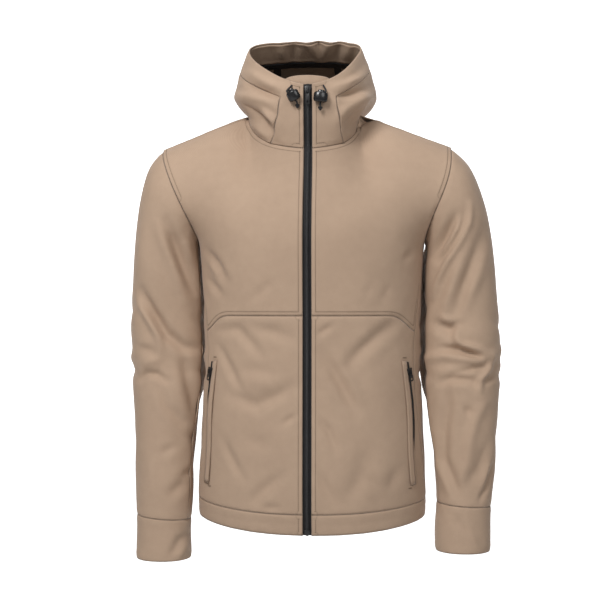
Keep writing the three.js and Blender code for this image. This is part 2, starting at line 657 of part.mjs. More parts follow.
// Slider with a bridge, and the pull tab whose bar turns under the bridge
const SLIDER = {
  halfWidth: 5.2, nose: 3.8, halfLength: 7.2, low: 0.3, high: 2.6,
  bridgeHalf: 1.1, bridgeReach: 3.6, bridgeInside: 2.1, bridgeUnder: 5.3, bridgeTop: 6.6,
};
const PIVOT_HEIGHT = 3.9;
function sliderGeometry() {
  const { halfWidth, nose, halfLength, low, high } = SLIDER;
  const { bridgeHalf, bridgeReach, bridgeInside, bridgeUnder, bridgeTop } = SLIDER;
  const outline = [
    [-halfWidth + 1, halfLength], [-halfWidth, halfLength - 1.5], [-nose, -halfLength + 1],
    [-nose + 1, -halfLength], [nose - 1, -halfLength], [nose, -halfLength + 1],
    [halfWidth, halfLength - 1.5], [halfWidth - 1, halfLength],
  ];
  const base = plate(outline.reverse(), low, high, []);
  const posts = [1, -1].map((way) => block(
    -bridgeHalf, bridgeHalf,
    Math.min(way * bridgeInside, way * bridgeReach), Math.max(way * bridgeInside, way * bridgeReach),
    high - 0.5, bridgeTop,
  ));
  const top = block(-bridgeHalf, bridgeHalf, -bridgeReach, bridgeReach, bridgeUnder, bridgeTop);
  return geometryOf(base.add(posts[0]).add(posts[1]).add(top));
}

function pullGeometry({ length, halfWidth, holeRadius }) {
  const outline = [
    [-2.6, 0.7], [-2.9, 0.3], [-2.9, -6.2], [-halfWidth, -8.5], [-halfWidth, -length + 1.6],
    [-halfWidth + 1.4, -length], [halfWidth - 1.4, -length], [halfWidth, -length + 1.6],
    [halfWidth, -8.5], [2.9, -6.2], [2.9, 0.3], [2.6, 0.7],
  ];
  const slot = [[-1.7, -0.7], [1.7, -0.7], [1.7, -5.4], [-1.7, -5.4]];
  const eye = circle(0, -length + halfWidth + 0.6, holeRadius, 12);
  return geometryOf(plate(outline, PIVOT_HEIGHT - 0.6, PIVOT_HEIGHT + 0.6, [slot, eye]));
}

// Strip along a line of points, its section given as four places across and out
function stripMesh(name, line, section, look) {
  const positions = [];
  for (const { at, out } of line) {
    for (const [across, height] of section) {
      const corner = at.clone().addScaledVector(out, height);
      positions.push(corner.x + across, corner.y, corner.z);
    }
  }
  const triangles = [];
  for (let step = 0; step + 1 < line.length; step += 1) {
    for (let corner = 0; corner < 4; corner += 1) {
      const a = step * 4 + corner;
      const b = step * 4 + ((corner + 1) % 4);
      triangles.push(a, b, b + 4, a, b + 4, a + 4);
    }
  }
  const end = (line.length - 1) * 4;
  triangles.push(0, 2, 1, 0, 3, 2, end, end + 1, end + 2, end, end + 2, end + 3);
  return meshOf(name, positions, triangles, look);
}

// Round cord along a smooth path
function cordGeometry(path, radius) {
  const curve = new THREE.CatmullRomCurve3(path);
  const rings = 8;
  const around = 8;
  const frames = curve.computeFrenetFrames(rings, false);
  const positions = [];
  for (let ring = 0; ring <= rings; ring += 1) {
    const centre = curve.getPointAt(ring / rings);
    for (let step = 0; step < around; step += 1) {
      const turn = (2 * Math.PI * step) / around;
      const arm = frames.normals[ring].clone().multiplyScalar(Math.cos(turn) * radius);
      arm.addScaledVector(frames.binormals[ring], Math.sin(turn) * radius);
      positions.push(...centre.clone().add(arm).toArray());
    }
  }
  const triangles = [];
  for (let ring = 0; ring < rings; ring += 1) {
    for (let step = 0; step < around; step += 1) {
      const a = ring * around + step;
      const b = ring * around + ((step + 1) % around);
      triangles.push(a, b, b + around, a, b + around, a + around);
    }
  }
  const last = rings * around;
  for (let step = 1; step + 1 < around; step += 1) {
    triangles.push(0, step + 1, step, last, last + step, last + step + 1);
  }
  const geometry = new THREE.BufferGeometry();
  geometry.setAttribute('position', new THREE.Float32BufferAttribute(positions, 3));
  geometry.setIndex(triangles);
  return geometry;
}

// Turned solid about the local y axis, squeezed to an oval. stations are radius and height.
function turnedGeometry(stations, squeeze) {
  const sidesAround = 16;
  const positions = [];
  for (const [radius, height] of stations) {
    for (let step = 0; step < sidesAround; step += 1) {
      const turn = (2 * Math.PI * step) / sidesAround;
      positions.push(radius * Math.cos(turn), height, squeeze * radius * Math.sin(turn));
    }
  }
  const triangles = [];
  for (let ring = 0; ring + 1 < stations.length; ring += 1) {
    for (let step = 0; step < sidesAround; step += 1) {
      const a = ring * sidesAround + step;
      const b = ring * sidesAround + ((step + 1) % sidesAround);
      triangles.push(a, b + sidesAround, b, a, a + sidesAround, b + sidesAround);
    }
  }
  const last = (stations.length - 1) * sidesAround;
  for (let step = 1; step + 1 < sidesAround; step += 1) {
    triangles.push(0, step, step + 1, last, last + step + 1, last + step);
  }
  const geometry = new THREE.BufferGeometry();
  geometry.setAttribute('position', new THREE.Float32BufferAttribute(positions, 3));
  geometry.setIndex(triangles);
  return geometry;
}

const jacket = new THREE.Group();
jacket.name = 'softshell_jacket';
for (const [name, list] of pieces) {
  const look = /^front_upper|^hood/.test(name) ? SHELL : SHELL_SHADE;
  jacket.add(clothMesh(name, list, 0, -WALL, look));
}

// Facing that stands up behind the top of the zip, across the dip of the hood's front edge
const FLAP = table(['x', 'top'], [
  [-40, 61], [-31, 64], [-21, 64.5], [-11, 64.5], [0, 64.5], [11, 64], [21, 63.5], [30, 62.5], [37, 59],
]);
const FLAP_ROWS = [0, 0.3, 0.55, 0.8, 1];
const FLAP_FOOT = 26;
const FLAP_FRONT = -112.2;
function flapRow(share) {
  return FLAP.map(({ x, top }) => {
    const z = FLAP_FOOT + (top - FLAP_FOOT) * share;
    const round = (x / 45) ** 2 * (10 + 11 * clamp((z - 31) / 33, 0, 1));
    return { point: vec(x, FLAP_FRONT + round, z), normal: vec(x / 110, -1, 0).normalize() };
  });
}

// Facing behind the hood band, its black binding, the seam tapes and the neck facing
const INSIDE = -WALL - 0.5;
jacket.add(patchMesh('hood_facing', hoodGrid([8.04, 9, 9.86], 2), INSIDE, INSIDE - 1.2, SHELL_SHADE));
jacket.add(patchMesh('hood_binding', hoodGrid([7.44, 7.98], 3), INSIDE - 0.7, INSIDE - 1.7, BLACK_TAPE));
jacket.add(patchMesh('neck_facing', FLAP_ROWS.map(flapRow), 0, -1.2, SHELL));
for (const [name, side] of sides) {
  const edges = side > 0 ? [8.86, 9.12] : [9.12, 8.86];
  jacket.add(patchMesh(`hood_tape_${name}`, [4.4, 5, 6, 7, 7.36].map((row) => (
    edges.map((around) => onCells(hoodPoint, side, row, around))
  )), INSIDE, INSIDE - 0.8, BLACK_TAPE));
}

// Front zip
const zipLine = [];
const addToLine = (place, row) => {
  const left = onCells(place, -1, row, 0).point;
  const right = onCells(place, 1, row, 0).point;
  zipLine.push({ at: vec(0, (left.y + right.y) / 2, (left.z + right.z) / 2) });
};
for (let row = 0; row <= topRow; row += 1) addToLine(bodyPoint, row);
for (let row = 1; row <= YOKE_ROWS; row += 1) addToLine((step, column) => yokePoint(step, column, true), row);
for (let row = 1; row <= HOOD_ROWS; row += 1) addToLine(hoodPoint, row);
zipLine.forEach((station, index) => {
  const before = zipLine[Math.max(0, index - 1)].at;
  const after = zipLine[Math.min(zipLine.length - 1, index + 1)].at;
  const up = after.clone().sub(before).normalize();
  station.out = vec(0, -up.z, up.y);
  station.up = up;
});
for (const [name, side] of sides) {
  const section = [[0.4, -2.7], [10.5, -4.4], [10.5, -5.3], [0.4, -3.6]].map(([x, out]) => [x * side, out]);
  jacket.add(stripMesh(`zip_tape_${name}`, zipLine, side > 0 ? section : section.reverse(), BLACK_TAPE));
}
jacket.add(stripMesh('zip_coil', zipLine, [[-2.8, -0.3], [2.8, -0.3], [2.8, -2.1], [-2.8, -2.1]], BLACK_COIL));

const zipFrame = (z) => {
  const upper = zipLine.findIndex((station) => station.at.z > z);
  const low = zipLine[upper - 1];
  const high = zipLine[upper];
  const share = (z - low.at.z) / (high.at.z - low.at.z);
  const up = high.at.clone().sub(low.at);
  return frameAt(low.at.clone().lerp(high.at, share), up, vec(0, -up.z, up.y));
};
const ZIP_SLIDER_Z = 38;
const ZIP_BOX_Z = -678;
jacket.add(placed('zip_slider', sliderGeometry(), zipFrame(ZIP_SLIDER_Z), BLACK_METAL));
jacket.add(placed(
  'zip_pull', pullGeometry({ length: 23, halfWidth: 3.4, holeRadius: 1.7 }), zipFrame(ZIP_SLIDER_Z), BLACK_METAL,
));
jacket.add(placed('zip_box', new THREE.BoxGeometry(8, 8, 1.8).translate(0, 0, 1), zipFrame(ZIP_BOX_Z), BLACK_METAL));

// Side pockets: a welt of shell cloth beside a narrow zip, on the rows of the lower fronts
const POCKET = table(['row', 'x'], [[2, 175], [3, 172], [4, 170], [5, 170], [6, 168], [7, 164], [8, 160]]);
const POCKET_SLIDER_ROW = 7.5;
const POCKET_CLEAR = 1.0;
function pocketPlace(side, row, x) {
  let column = 1;
  const xAt = (at) => Math.abs(onCells(bodyPoint, side, row, at).point.x);
  while (column < FRONT_COLUMNS - 1 && xAt(column + 1) < x) column += 1;
  const share = (x - xAt(column)) / (xAt(column + 1) - xAt(column));
  return onCells(bodyPoint, side, row, column + share);
}
for (const [name, side] of sides) {
  const strip = (from, to) => POCKET.map(({ row, x }) => {
    const edges = [pocketPlace(side, row, x + from), pocketPlace(side, row, x + to)];
    return side > 0 ? edges : edges.reverse();
  });
  jacket.add(patchMesh(`pocket_welt_${name}`, strip(-8, -0.4), POCKET_CLEAR + 1.6, POCKET_CLEAR, SHELL_SHADE));
  jacket.add(patchMesh(`pocket_zip_${name}`, strip(0.1, 3.4), POCKET_CLEAR + 0.8, POCKET_CLEAR, BLACK_COIL));
  const x = readTable(POCKET, 'row', 'x', POCKET_SLIDER_ROW) + 1.7;
  const here = pocketPlace(side, POCKET_SLIDER_ROW, x);
  const above = pocketPlace(side, POCKET_SLIDER_ROW + 0.4, x - 1.6).point;
  const below = pocketPlace(side, POCKET_SLIDER_ROW - 0.4, x + 1.6).point;
  const seat = here.point.clone().addScaledVector(here.normal, POCKET_CLEAR + 1.6);
  const frame = frameAt(seat, above.clone().sub(below), here.normal);
  const broader = new THREE.Matrix4().makeScale(1.15, 0.85, 0.8);
  const slider = sliderGeometry().applyMatrix4(broader);
  const pull = pullGeometry({ length: 19, halfWidth: 4, holeRadius: 2.2 }).applyMatrix4(broader);
  jacket.add(placed(`pocket_slider_${name}`, slider, frame, BLACK_METAL));
  jacket.add(placed(`pocket_pull_${name}`, pull, frame, BLACK_METAL));
}

// Cord locks: an oval barrel with a sprung plunger, and the short ends of the hood cord
const LOCKS = table(['name', 'side', 'row', 'around', 'lift', 'turn', 'tip', 'breadth'], [
  ['left', -1, 8.35, 0.72, 9.2, 24, 18, 1.15], ['right', 1, 8.2, 0.66, 7.5, -6, 4, 1.3],
]);
const BARREL = [
  [5.5, -8.4], [8, -7.4], [9, -4.5], [9, 4.5], [8, 7.6], [6.2, 8.2], [4.9, 8.2], [4.9, -5],
];
const PLUNGER = [[4.3, -0.2], [4.3, 10.4], [3.6, 11.6]];
for (const lock of LOCKS) {
  const here = onCells(hoodPoint, lock.side, lock.row, lock.around);
  const seat = here.point.clone().addScaledVector(here.normal, lock.lift);
  const rad = THREE.MathUtils.degToRad;
  const frame = frameAt(seat, vec(0, 0, 1), here.normal)
    .multiply(new THREE.Matrix4().makeRotationZ(rad(lock.turn)))
    .multiply(new THREE.Matrix4().makeRotationX(rad(lock.tip)));
  const broader = new THREE.Matrix4().makeScale(lock.breadth, 1, 1);
  const barrel = turnedGeometry(BARREL, 0.78).applyMatrix4(broader);
  const plunger = turnedGeometry(PLUNGER, 0.78).applyMatrix4(broader);
  jacket.add(placed(`cord_lock_${lock.name}`, barrel, frame, BLACK_PLASTIC));
  jacket.add(placed(`cord_button_${lock.name}`, plunger, frame, BLACK_PLASTIC));
  const at = (x, y, z) => vec(x, y, z).applyMatrix4(frame);
  const exit = onCells(hoodPoint, lock.side, 9.5, lock.around + 0.25);
  const leave = exit.point.clone().addScaledVector(exit.normal, 1.5);
  const upper = [leave, at(8 * lock.side, 11, -1), at(7.1 * lock.side, 9.9, 0)];
  const end = [at(0, -9.2, 0), at(0.5, -13, -0.5), at(1.5 * lock.side, -18, -2)];
  jacket.add(placed(`cord_${lock.name}`, cordGeometry(upper, 1.2), new THREE.Matrix4(), CORD_BLACK));
  jacket.add(placed(`cord_end_${lock.name}`, cordGeometry(end, 1.5), new THREE.Matrix4(), CORD_BLACK));
}

export default jacket;
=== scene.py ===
"""Looks of a hooded softshell jacket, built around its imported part. Metres; zip faces -Y; +Z up."""
import json
import math

import bmesh
import bpy
import numpy as np
from bpy.props import FloatProperty, FloatVectorProperty, IntProperty, PointerProperty
from bpy.types import Operator, Panel, PropertyGroup
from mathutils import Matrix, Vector
from mathutils.bvhtree import BVHTree
from mathutils.kdtree import KDTree

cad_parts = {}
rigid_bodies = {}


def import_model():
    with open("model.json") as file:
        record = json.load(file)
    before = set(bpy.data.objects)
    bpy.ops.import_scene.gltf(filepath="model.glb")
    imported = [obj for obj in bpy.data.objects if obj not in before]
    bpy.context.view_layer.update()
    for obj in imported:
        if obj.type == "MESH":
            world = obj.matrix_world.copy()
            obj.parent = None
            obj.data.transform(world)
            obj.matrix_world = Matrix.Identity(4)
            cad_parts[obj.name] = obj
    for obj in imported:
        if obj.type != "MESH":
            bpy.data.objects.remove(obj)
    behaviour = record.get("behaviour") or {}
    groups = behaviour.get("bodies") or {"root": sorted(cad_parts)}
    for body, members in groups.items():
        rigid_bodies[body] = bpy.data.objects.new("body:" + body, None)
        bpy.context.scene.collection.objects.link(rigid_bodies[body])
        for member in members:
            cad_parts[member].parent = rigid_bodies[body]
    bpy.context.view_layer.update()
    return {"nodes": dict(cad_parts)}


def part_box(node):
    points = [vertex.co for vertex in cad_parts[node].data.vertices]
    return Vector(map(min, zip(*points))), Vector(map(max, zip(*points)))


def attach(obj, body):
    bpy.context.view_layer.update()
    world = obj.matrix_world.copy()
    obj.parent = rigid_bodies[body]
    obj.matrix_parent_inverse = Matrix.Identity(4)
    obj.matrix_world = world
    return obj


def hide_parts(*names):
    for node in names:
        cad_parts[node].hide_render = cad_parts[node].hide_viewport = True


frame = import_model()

bl_info = {
    "name": "Hooded softshell jacket",
    "version": (1, 0, 0),
    "blender": (4, 5, 0),
    "location": "View3D > Sidebar > Jacket",
    "description": "Cloth, stitching, zips and cord of a hooded softshell jacket",
    "category": "Object",
}

SIDES = {"left": -1, "right": 1}

# Faces of a cloth piece
OUTER, RIM, INNER = 0, 1, 2

# Lengths in metres: the cloth's thickness, the longest edge across a rim, how far a piece's rim
# grows to close its seam, the gap that merges loose points, and a distance beyond every seam
WALL = 0.002
WALL_REACH = 0.0034
SEAM_CLOSING = 0.000155
MERGE_GAP = 0.00002
FAR = 1.0

# Angles below which two triangles pair up, and above which a rim's edge stays sharp, a tape's edge
# and a trim's edge are bevelled, and a trim's edge isn't shaded smooth
PAIRING_ANGLE, RIM_ANGLE, TAPE_ANGLE, TRIM_ANGLE, SHADING_ANGLE = map(math.radians, (70, 40, 50, 38, 34))

# Middles that tell a cloth piece's outer face from its inner one
BODY_MIDDLE = (0.0, -0.005, -0.35)
SLEEVE_MIDDLES = {"left": (-0.256, 0.0, -0.35), "right": (0.256, 0.0, -0.35)}
HOOD_MIDDLE = (-0.008, 0.01, 0.02)


# ---------------------------------------------------------------- sizes and colours

def colour_setting(name, what, value):
    return FloatVectorProperty(
        name=name, description=what, subtype="COLOR", size=3, min=0, max=1, default=value)


def length_setting(name, what, value, **limits):
    return FloatProperty(name=name, description=what, unit="LENGTH", default=value, **limits)


def power_setting(name, what, value):
    return FloatProperty(name=name, description=what, default=value, min=0)


class JacketCloth(PropertyGroup):
    """Sizes and colours of the shell cloth and its lining."""
    shell_colour: colour_setting("Shell colour", "Colour of the shell cloth's threads", (0.49, 0.35, 0.249))
    # The shell shadow colour is the darker tone of the mottling; darkened further it is the painted shade
    # at the seams and on the pockets' closed openings.
    shell_shadow: colour_setting(
        "Shell shadow colour", "Darker tone in the shell cloth's mottling", (0.424, 0.298, 0.211))
    lining_colour: colour_setting("Lining colour", "Colour of the fleece inside", (0.25, 0.175, 0.12))
    thread_pitch: length_setting(
        "Thread pitch", "Distance between two threads of the weave", 0.0007, min=0.0001)
    subdivision: IntProperty(
        name="Subdivision", description="Times that each cloth cell is halved", default=3, min=1, max=4)
    crease_depth: FloatProperty(
        name="Crease depth", description="Share of each crease's own height", subtype="FACTOR",
        default=1.25, min=0, max=2)
    seam_dip: length_setting("Seam dip", "How far the cloth rolls down at a seam", 0.0006, min=0)


class JacketStitching(PropertyGroup):
    """Sizes and colour of the topstitching."""
    inset: length_setting("Inset", "Distance of the topstitching from its seam", 0.0068, min=0.001)
    stitch_pitch: length_setting("Stitch pitch", "Distance from one stitch to the next", 0.0032, min=0.001)
    thread_thickness: length_setting(
        "Thread thickness", "Diameter of the sewing thread", 0.0007, min=0.0001)
    thread_colour: colour_setting("Thread colour", "Colour of the sewing thread", (0.18, 0.125, 0.082))


class JacketTrims(PropertyGroup):
    """Colours and sizes of the zips, tapes, cord and locks."""
    black: colour_setting("Black", "Colour of the zips and the tapes", (0.012, 0.0115, 0.0125))
    cord_thickness: length_setting("Cord thickness", "Diameter of the hood cord", 0.003, min=0.001)
    coil_pitch: length_setting(
        "Coil pitch", "Distance between two turns of the front zip's coil", 0.0015, min=0.0005)


class JacketStage(PropertyGroup):
    """Camera and light."""
    camera_distance: length_setting(
        "Camera distance", "Distance of the camera from the jacket's middle", 2.0, min=0.5)
    camera_turn: FloatProperty(
        name="Camera turn", description="Turn of the camera about the jacket, toward its left arm",
        subtype="ANGLE", default=math.radians(4))
    floor_height: length_setting("Floor height", "Height of the floor", -1.15)
    lit_from: length_setting("Lit from", "How far behind the jacket the floor begins to be lit white", 0.45)
    key_power: power_setting("Key power", "Power of the large light at the upper left", 60)
    fill_power: power_setting("Fill power", "Power of the fill light at the right", 17)
    surround: power_setting("Surround", "Strength of the white light all round", 0.14)


# ---------------------------------------------------------------- hands for objects

def pick_only(piece):
    bpy.ops.object.select_all(action="DESELECT")
    piece.select_set(True)
    bpy.context.view_layer.objects.active = piece


def new_piece(name, mesh):
    piece = bpy.data.objects.new(name, mesh)
    bpy.context.scene.collection.objects.link(piece)
    return piece


def copy_of_node(node_name, piece_name):
    """A copy of a CAD node's mesh, with its loose triangles merged and paired up again."""
    piece = new_piece(piece_name, frame["nodes"][node_name].data.copy())
    piece.data.name = piece_name
    piece.data.materials.clear()
    pick_only(piece)
    bpy.ops.object.mode_set(mode="EDIT")
    bpy.ops.mesh.select_all(action="SELECT")
    bpy.ops.mesh.customdata_custom_splitnormals_clear()
    bpy.ops.mesh.remove_doubles(threshold=MERGE_GAP)
    bpy.ops.mesh.tris_convert_to_quads(face_threshold=PAIRING_ANGLE, shape_threshold=PAIRING_ANGLE)
    bpy.ops.object.mode_set(mode="OBJECT")
    return piece


def apply_modifier(piece, kind, **values):
    pick_only(piece)
    modifier = piece.modifiers.new(kind.lower(), kind)
    for name, value in values.items():
        setattr(modifier, name, value)
    bpy.ops.object.modifier_apply(modifier=modifier.name)


def points_of(mesh):
    flat = np.empty(len(mesh.vertices) * 3)
    mesh.vertices.foreach_get("co", flat)
    return flat.reshape(-1, 3)


def set_points(mesh, points):
    mesh.vertices.foreach_set("co", np.ascontiguousarray(points).ravel())
    mesh.update()


def draw_out(piece, kind, chosen, way, size=(1, 1, 1)):
    """Extrudes the faces or edges of a piece that chosen() picks, and resizes what came out."""
    bpy.ops.object.mode_set(mode="EDIT")
    bpy.ops.mesh.select_mode(type=kind)
    bpy.ops.mesh.select_all(action="DESELECT")
    shape = bmesh.from_edit_mesh(piece.data)
    for part in shape.faces if kind == "FACE" else shape.edges:
        part.select = chosen(part)
    bmesh.update_edit_mesh(piece.data)
    bpy.ops.mesh.extrude_region_move(TRANSFORM_OT_translate={"value": way})
    bpy.ops.transform.resize(value=size)
    bpy.ops.object.mode_set(mode="OBJECT")


def declare(piece, body, slot, *nodes):
    """States the body that a piece rides and the CAD nodes that it stands for. Its slot is not used."""
    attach(piece, body)
    if nodes:
        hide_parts(*nodes)


def skin_of(mesh, faces=None):
    """The mesh's surface, or the given faces of it, for finding its points and normals."""
    faces = faces or [tuple(face.vertices) for face in mesh.polygons]
    return BVHTree.FromPolygons([v.co.copy() for v in mesh.vertices], faces)


def point_tree(points, keys):
    tree = KDTree(len(keys))
    for point, key in zip(points, keys):
        tree.insert(point, int(key))
    tree.balance()
    return tree


def distances_along(line):
    steps = np.linalg.norm(np.diff(line, axis=0), axis=1)
    return np.concatenate([[0], np.cumsum(steps)])


def point_on(line, reached, at):
    """The point, or points, of a line at the given distances along it."""
    return np.stack([np.interp(at, reached, line[:, k]) for k in range(3)], axis=-1)


# ---------------------------------------------------------------- hands for nodes

def feed(tree, socket, value):
    if isinstance(value, bpy.types.NodeSocket):
        tree.links.new(value, socket)
    else:
        socket.default_value = value


def add_node(tree, kind, inputs=None, **values):
    made = tree.nodes.new(kind)
    for name, value in values.items():
        setattr(made, name, value)
    for name, value in (inputs or {}).items():
        feed(tree, made.inputs[name], value)
    return made


def calc(tree, operation, *inputs, clamp=False):
    given = dict(enumerate(inputs))
    return add_node(tree, "ShaderNodeMath", given, operation=operation, use_clamp=clamp).outputs[0]


def times(tree, first, second):
    return calc(tree, "MULTIPLY", first, second)


def times_plus(tree, first, second, added, clamp=False):
    return calc(tree, "MULTIPLY_ADD", first, second, added, clamp=clamp)


def blend_colour(tree, share, first, second):
    mix = add_node(tree, "ShaderNodeMix", data_type="RGBA")
    for name, value in (("Factor", share), ("A", first), ("B", second)):
        feed(tree, [s for s in mix.inputs if s.name == name and s.enabled][0], value)
    return [s for s in mix.outputs if s.enabled][0]


def noise(tree, place, scale, detail, **inputs):
    given = {"Vector": place, "Scale": scale, "Detail": detail, **inputs}
    return add_node(tree, "ShaderNodeTexNoise", given).outputs["Fac"]


def object_place(tree):
    return add_node(tree, "ShaderNodeTexCoord").outputs["Object"]


def bump(tree, height):
    """The normal over a height in metres."""
    return add_node(tree, "ShaderNodeBump", {"Height": height, "Distance": 1.0, "Strength": 1.0}).outputs[0]


def rgba(colour, strength=1.0):
    return tuple(c * strength for c in colour) + (1.0,)


def weave_nodes(group, given):
    """Over and under of fine threads, in metres of height, and a tone that varies with it."""
    parts = add_node(group, "ShaderNodeSeparateXYZ", {0: given["Vector"]}).outputs
    across, up = (calc(group, "SINE", times(group, calc(group, "DIVIDE", part, given["Pitch"]), math.pi))
                  for part in (parts[0], parts[1]))
    crossing = times(group, across, up)
    return times(group, crossing, times(group, given["Pitch"], 0.09)), times_plus(group, crossing, 0.5, 0.5)


def mottle_nodes(group, given):
    """Broad, middling and fine unevenness of dyed cloth, 0 to 1, and the fine one alone."""
    broad, middling, fine = (noise(group, given["Vector"], scale, detail)
                             for scale, detail in ((9.0, 2.0), (70.0, 3.0), (900.0, 2.0)))
    tone = times_plus(group, broad, 0.45, times(group, middling, 0.3))
    return times_plus(group, fine, 0.25, tone), fine


def seam_nodes(group, given):
    """Roll, stitched channel and pucker of cloth beside a seam, from its own distance attributes, and
    painted shade, darkest in the seam's groove and along the stitched channel.
    """
    gap, stitch_gap = (add_node(group, "ShaderNodeAttribute", attribute_name=name).outputs["Fac"]
                       for name in ("seam_gap", "stitch_gap"))
    from_line = calc(group, "ABSOLUTE", calc(group, "SUBTRACT", stitch_gap, given["Inset"]))
    edge, line, near = (calc(group, "EXPONENT", times(group, distance, rate))
                        for distance, rate in ((gap, -1700.0), (from_line, -1500.0), (gap, -110.0)))
    pucker = times(group, times(group, noise(group, given["Vector"], 95.0, 1.5), near), 0.0011)
    height = times_plus(group, line, -0.00045, times_plus(group, edge, -0.0007, pucker))
    # Height, then painted shade: the cloth is darkened in the seam's groove and along the stitched channel,
    # where shade falls.
    return height, times_plus(group, line, 0.35, times(group, edge, 0.3), clamp=True)


# Shader groups: what fills each, its inputs beside the place, and its outputs
SHADER_GROUPS = {
    "weave": (weave_nodes, ("Pitch",), ("Height", "Tone")),
    "mottle": (mottle_nodes, (), ("Tone", "Fine")),
    "seam press": (seam_nodes, ("Inset",), ("Height", "Shade")),
}


def use_group(tree, name, place, **inputs):
    """Adds a shader group, which is made the first time, and gives its outputs."""
    group = bpy.data.node_groups.get(name)
    if not group:
        fill, given, results = SHADER_GROUPS[name]
        group = bpy.data.node_groups.new(name, "ShaderNodeTree")
        group.interface.new_socket("Vector", in_out="INPUT", socket_type="NodeSocketVector")
        for way, sockets in (("INPUT", given), ("OUTPUT", results)):
            for socket in sockets:
                group.interface.new_socket(socket, in_out=way, socket_type="NodeSocketFloat")
        made = fill(group, add_node(group, "NodeGroupInput").outputs)
        add_node(group, "NodeGroupOutput", dict(zip(results, made)))
    return add_node(tree, "ShaderNodeGroup", {"Vector": place, **inputs}, node_tree=group).outputs


# ---------------------------------------------------------------- materials

def material(context, name, looks, *values):
    """The material of this name, which is made the first time with what looks() gives its shader."""
    if name not in bpy.data.materials:
        made = bpy.data.materials.new(name)
        made.use_nodes = True
        tree = made.node_tree
        tree.nodes.clear()
        shader = add_node(tree, "ShaderNodeBsdfPrincipled", looks(tree, context.scene, *values))
        add_node(tree, "ShaderNodeOutputMaterial", {"Surface": shader.outputs[0]})
    return bpy.data.materials[name]


def shell_looks(tree, scene):
    """Smooth close-woven outer cloth."""
    cloth = scene.jacket_cloth
    along = add_node(tree, "ShaderNodeUVMap", uv_map="cloth").outputs[0]
    place = object_place(tree)
    weave = use_group(tree, "weave", along, Pitch=cloth.thread_pitch)
    mottle = use_group(tree, "mottle", place)
    seam = use_group(tree, "seam press", place, Inset=scene.jacket_stitching.inset)
    tone = times_plus(tree, times_plus(tree, weave["Tone"], 0.3, mottle["Tone"]), 2.4, -1.05, clamp=True)
    colour = blend_colour(tree, tone, rgba(cloth.shell_shadow), rgba(cloth.shell_colour))
    # Painted shade: darker toward the shell's shadow colour in each seam's groove and along its stitched
    # channel.
    colour = blend_colour(tree, seam["Shade"], colour, rgba(cloth.shell_shadow, 0.42))
    height = calc(tree, "ADD", weave["Height"], seam["Height"])
    return {"Base Color": colour, "Normal": bump(tree, times_plus(tree, mottle["Fine"], 0.00006, height)),
            "Roughness": times_plus(tree, mottle["Fine"], 0.2, 0.68),
            "Sheen Weight": 0.12, "Sheen Roughness": 0.45, "Specular IOR Level": 0.32}


def lining_looks(tree, scene):
    """Brushed fleece inside."""
    lining = scene.jacket_cloth.lining_colour
    place = object_place(tree)
    mottle = use_group(tree, "mottle", place)
    seam = use_group(tree, "seam press", place, Inset=scene.jacket_stitching.inset)
    nap = noise(tree, place, 420.0, 4.0, Distortion=1.2)
    tone = times_plus(tree, nap, 0.9, calc(tree, "SUBTRACT", mottle["Tone"], 0.45), clamp=True)
    colour = blend_colour(tree, tone, rgba(lining, 0.72), rgba(lining, 1.15))
    # Painted shade: darker in each seam's groove and along its stitched channel.
    colour = blend_colour(tree, seam["Shade"], colour, rgba(lining, 0.4))
    return {"Base Color": colour, "Normal": bump(tree, times_plus(tree, nap, 0.0006, seam["Height"])),
            "Roughness": times_plus(tree, nap, 0.1, 0.88),
            "Sheen Weight": 0.35, "Sheen Roughness": 0.6, "Specular IOR Level": 0.2}


def webbing_looks(tree, scene, pitch, dullness):
    """Black woven tape, as on the zips, the hood seams and the binding."""
    black = scene.jacket_trims.black
    place = object_place(tree)
    weave = use_group(tree, "weave", place, Pitch=pitch)
    mottle = use_group(tree, "mottle", place)
    tone = times_plus(tree, weave["Tone"], 0.5, times(tree, mottle["Tone"], 0.6))
    return {"Base Color": blend_colour(tree, tone, rgba(black, 0.7), rgba(black, 1.9)),
            "Normal": bump(tree, times(tree, weave["Height"], 2.0)),
            "Roughness": times_plus(tree, mottle["Fine"], 0.2, dullness), "Specular IOR Level": 0.4}


def moulded_looks(tree, scene, dullness, speckle):
    """Black moulded or painted hard trim, with fine unevenness and its tone and gloss varying in broad
    patches.
    """
    black = scene.jacket_trims.black
    place = object_place(tree)
    fine, broad = noise(tree, place, 1400.0, 3.0), noise(tree, place, 160.0, 2.0)
    return {"Base Color": blend_colour(tree, broad, rgba(black, 0.8), rgba(black, 1.5)),
            "Normal": bump(tree, times(tree, fine, speckle)),
            "Roughness": times_plus(tree, broad, 0.18, dullness), "Specular IOR Level": 0.6}


def thread_looks(tree, scene):
    """Twisted sewing thread."""
    thread = scene.jacket_stitching.thread_colour
    twist = noise(tree, object_place(tree), 700.0, 2.0)
    return {"Base Color": blend_colour(tree, twist, rgba(thread, 0.8), rgba(thread, 1.2)),
            "Roughness": times_plus(tree, twist, 0.2, 0.5), "Specular IOR Level": 0.4}


def braid_looks(tree, scene):
    """Braided polyester cord."""
    black = scene.jacket_trims.black
    along = add_node(tree, "ShaderNodeUVMap", uv_map="braid").outputs[0]
    turned = add_node(tree, "ShaderNodeMapping", {"Vector": along, "Rotation": (0, 0, math.radians(42))})
    weave = use_group(tree, "weave", turned.outputs[0], Pitch=0.0006)
    tone = times_plus(tree, weave["Tone"], 0.9, 0.1, clamp=True)
    return {"Base Color": blend_colour(tree, tone, rgba(black, 0.6), rgba(black, 2.6)),
            "Normal": bump(tree, times(tree, weave["Height"], 4.0)),
            "Roughness": times_plus(tree, weave["Tone"], -0.15, 0.7)}


# Below these heights in metres the pocket openings lie closed
POCKET_CLOSED_BELOW = {"left": -0.456, "right": -0.53}


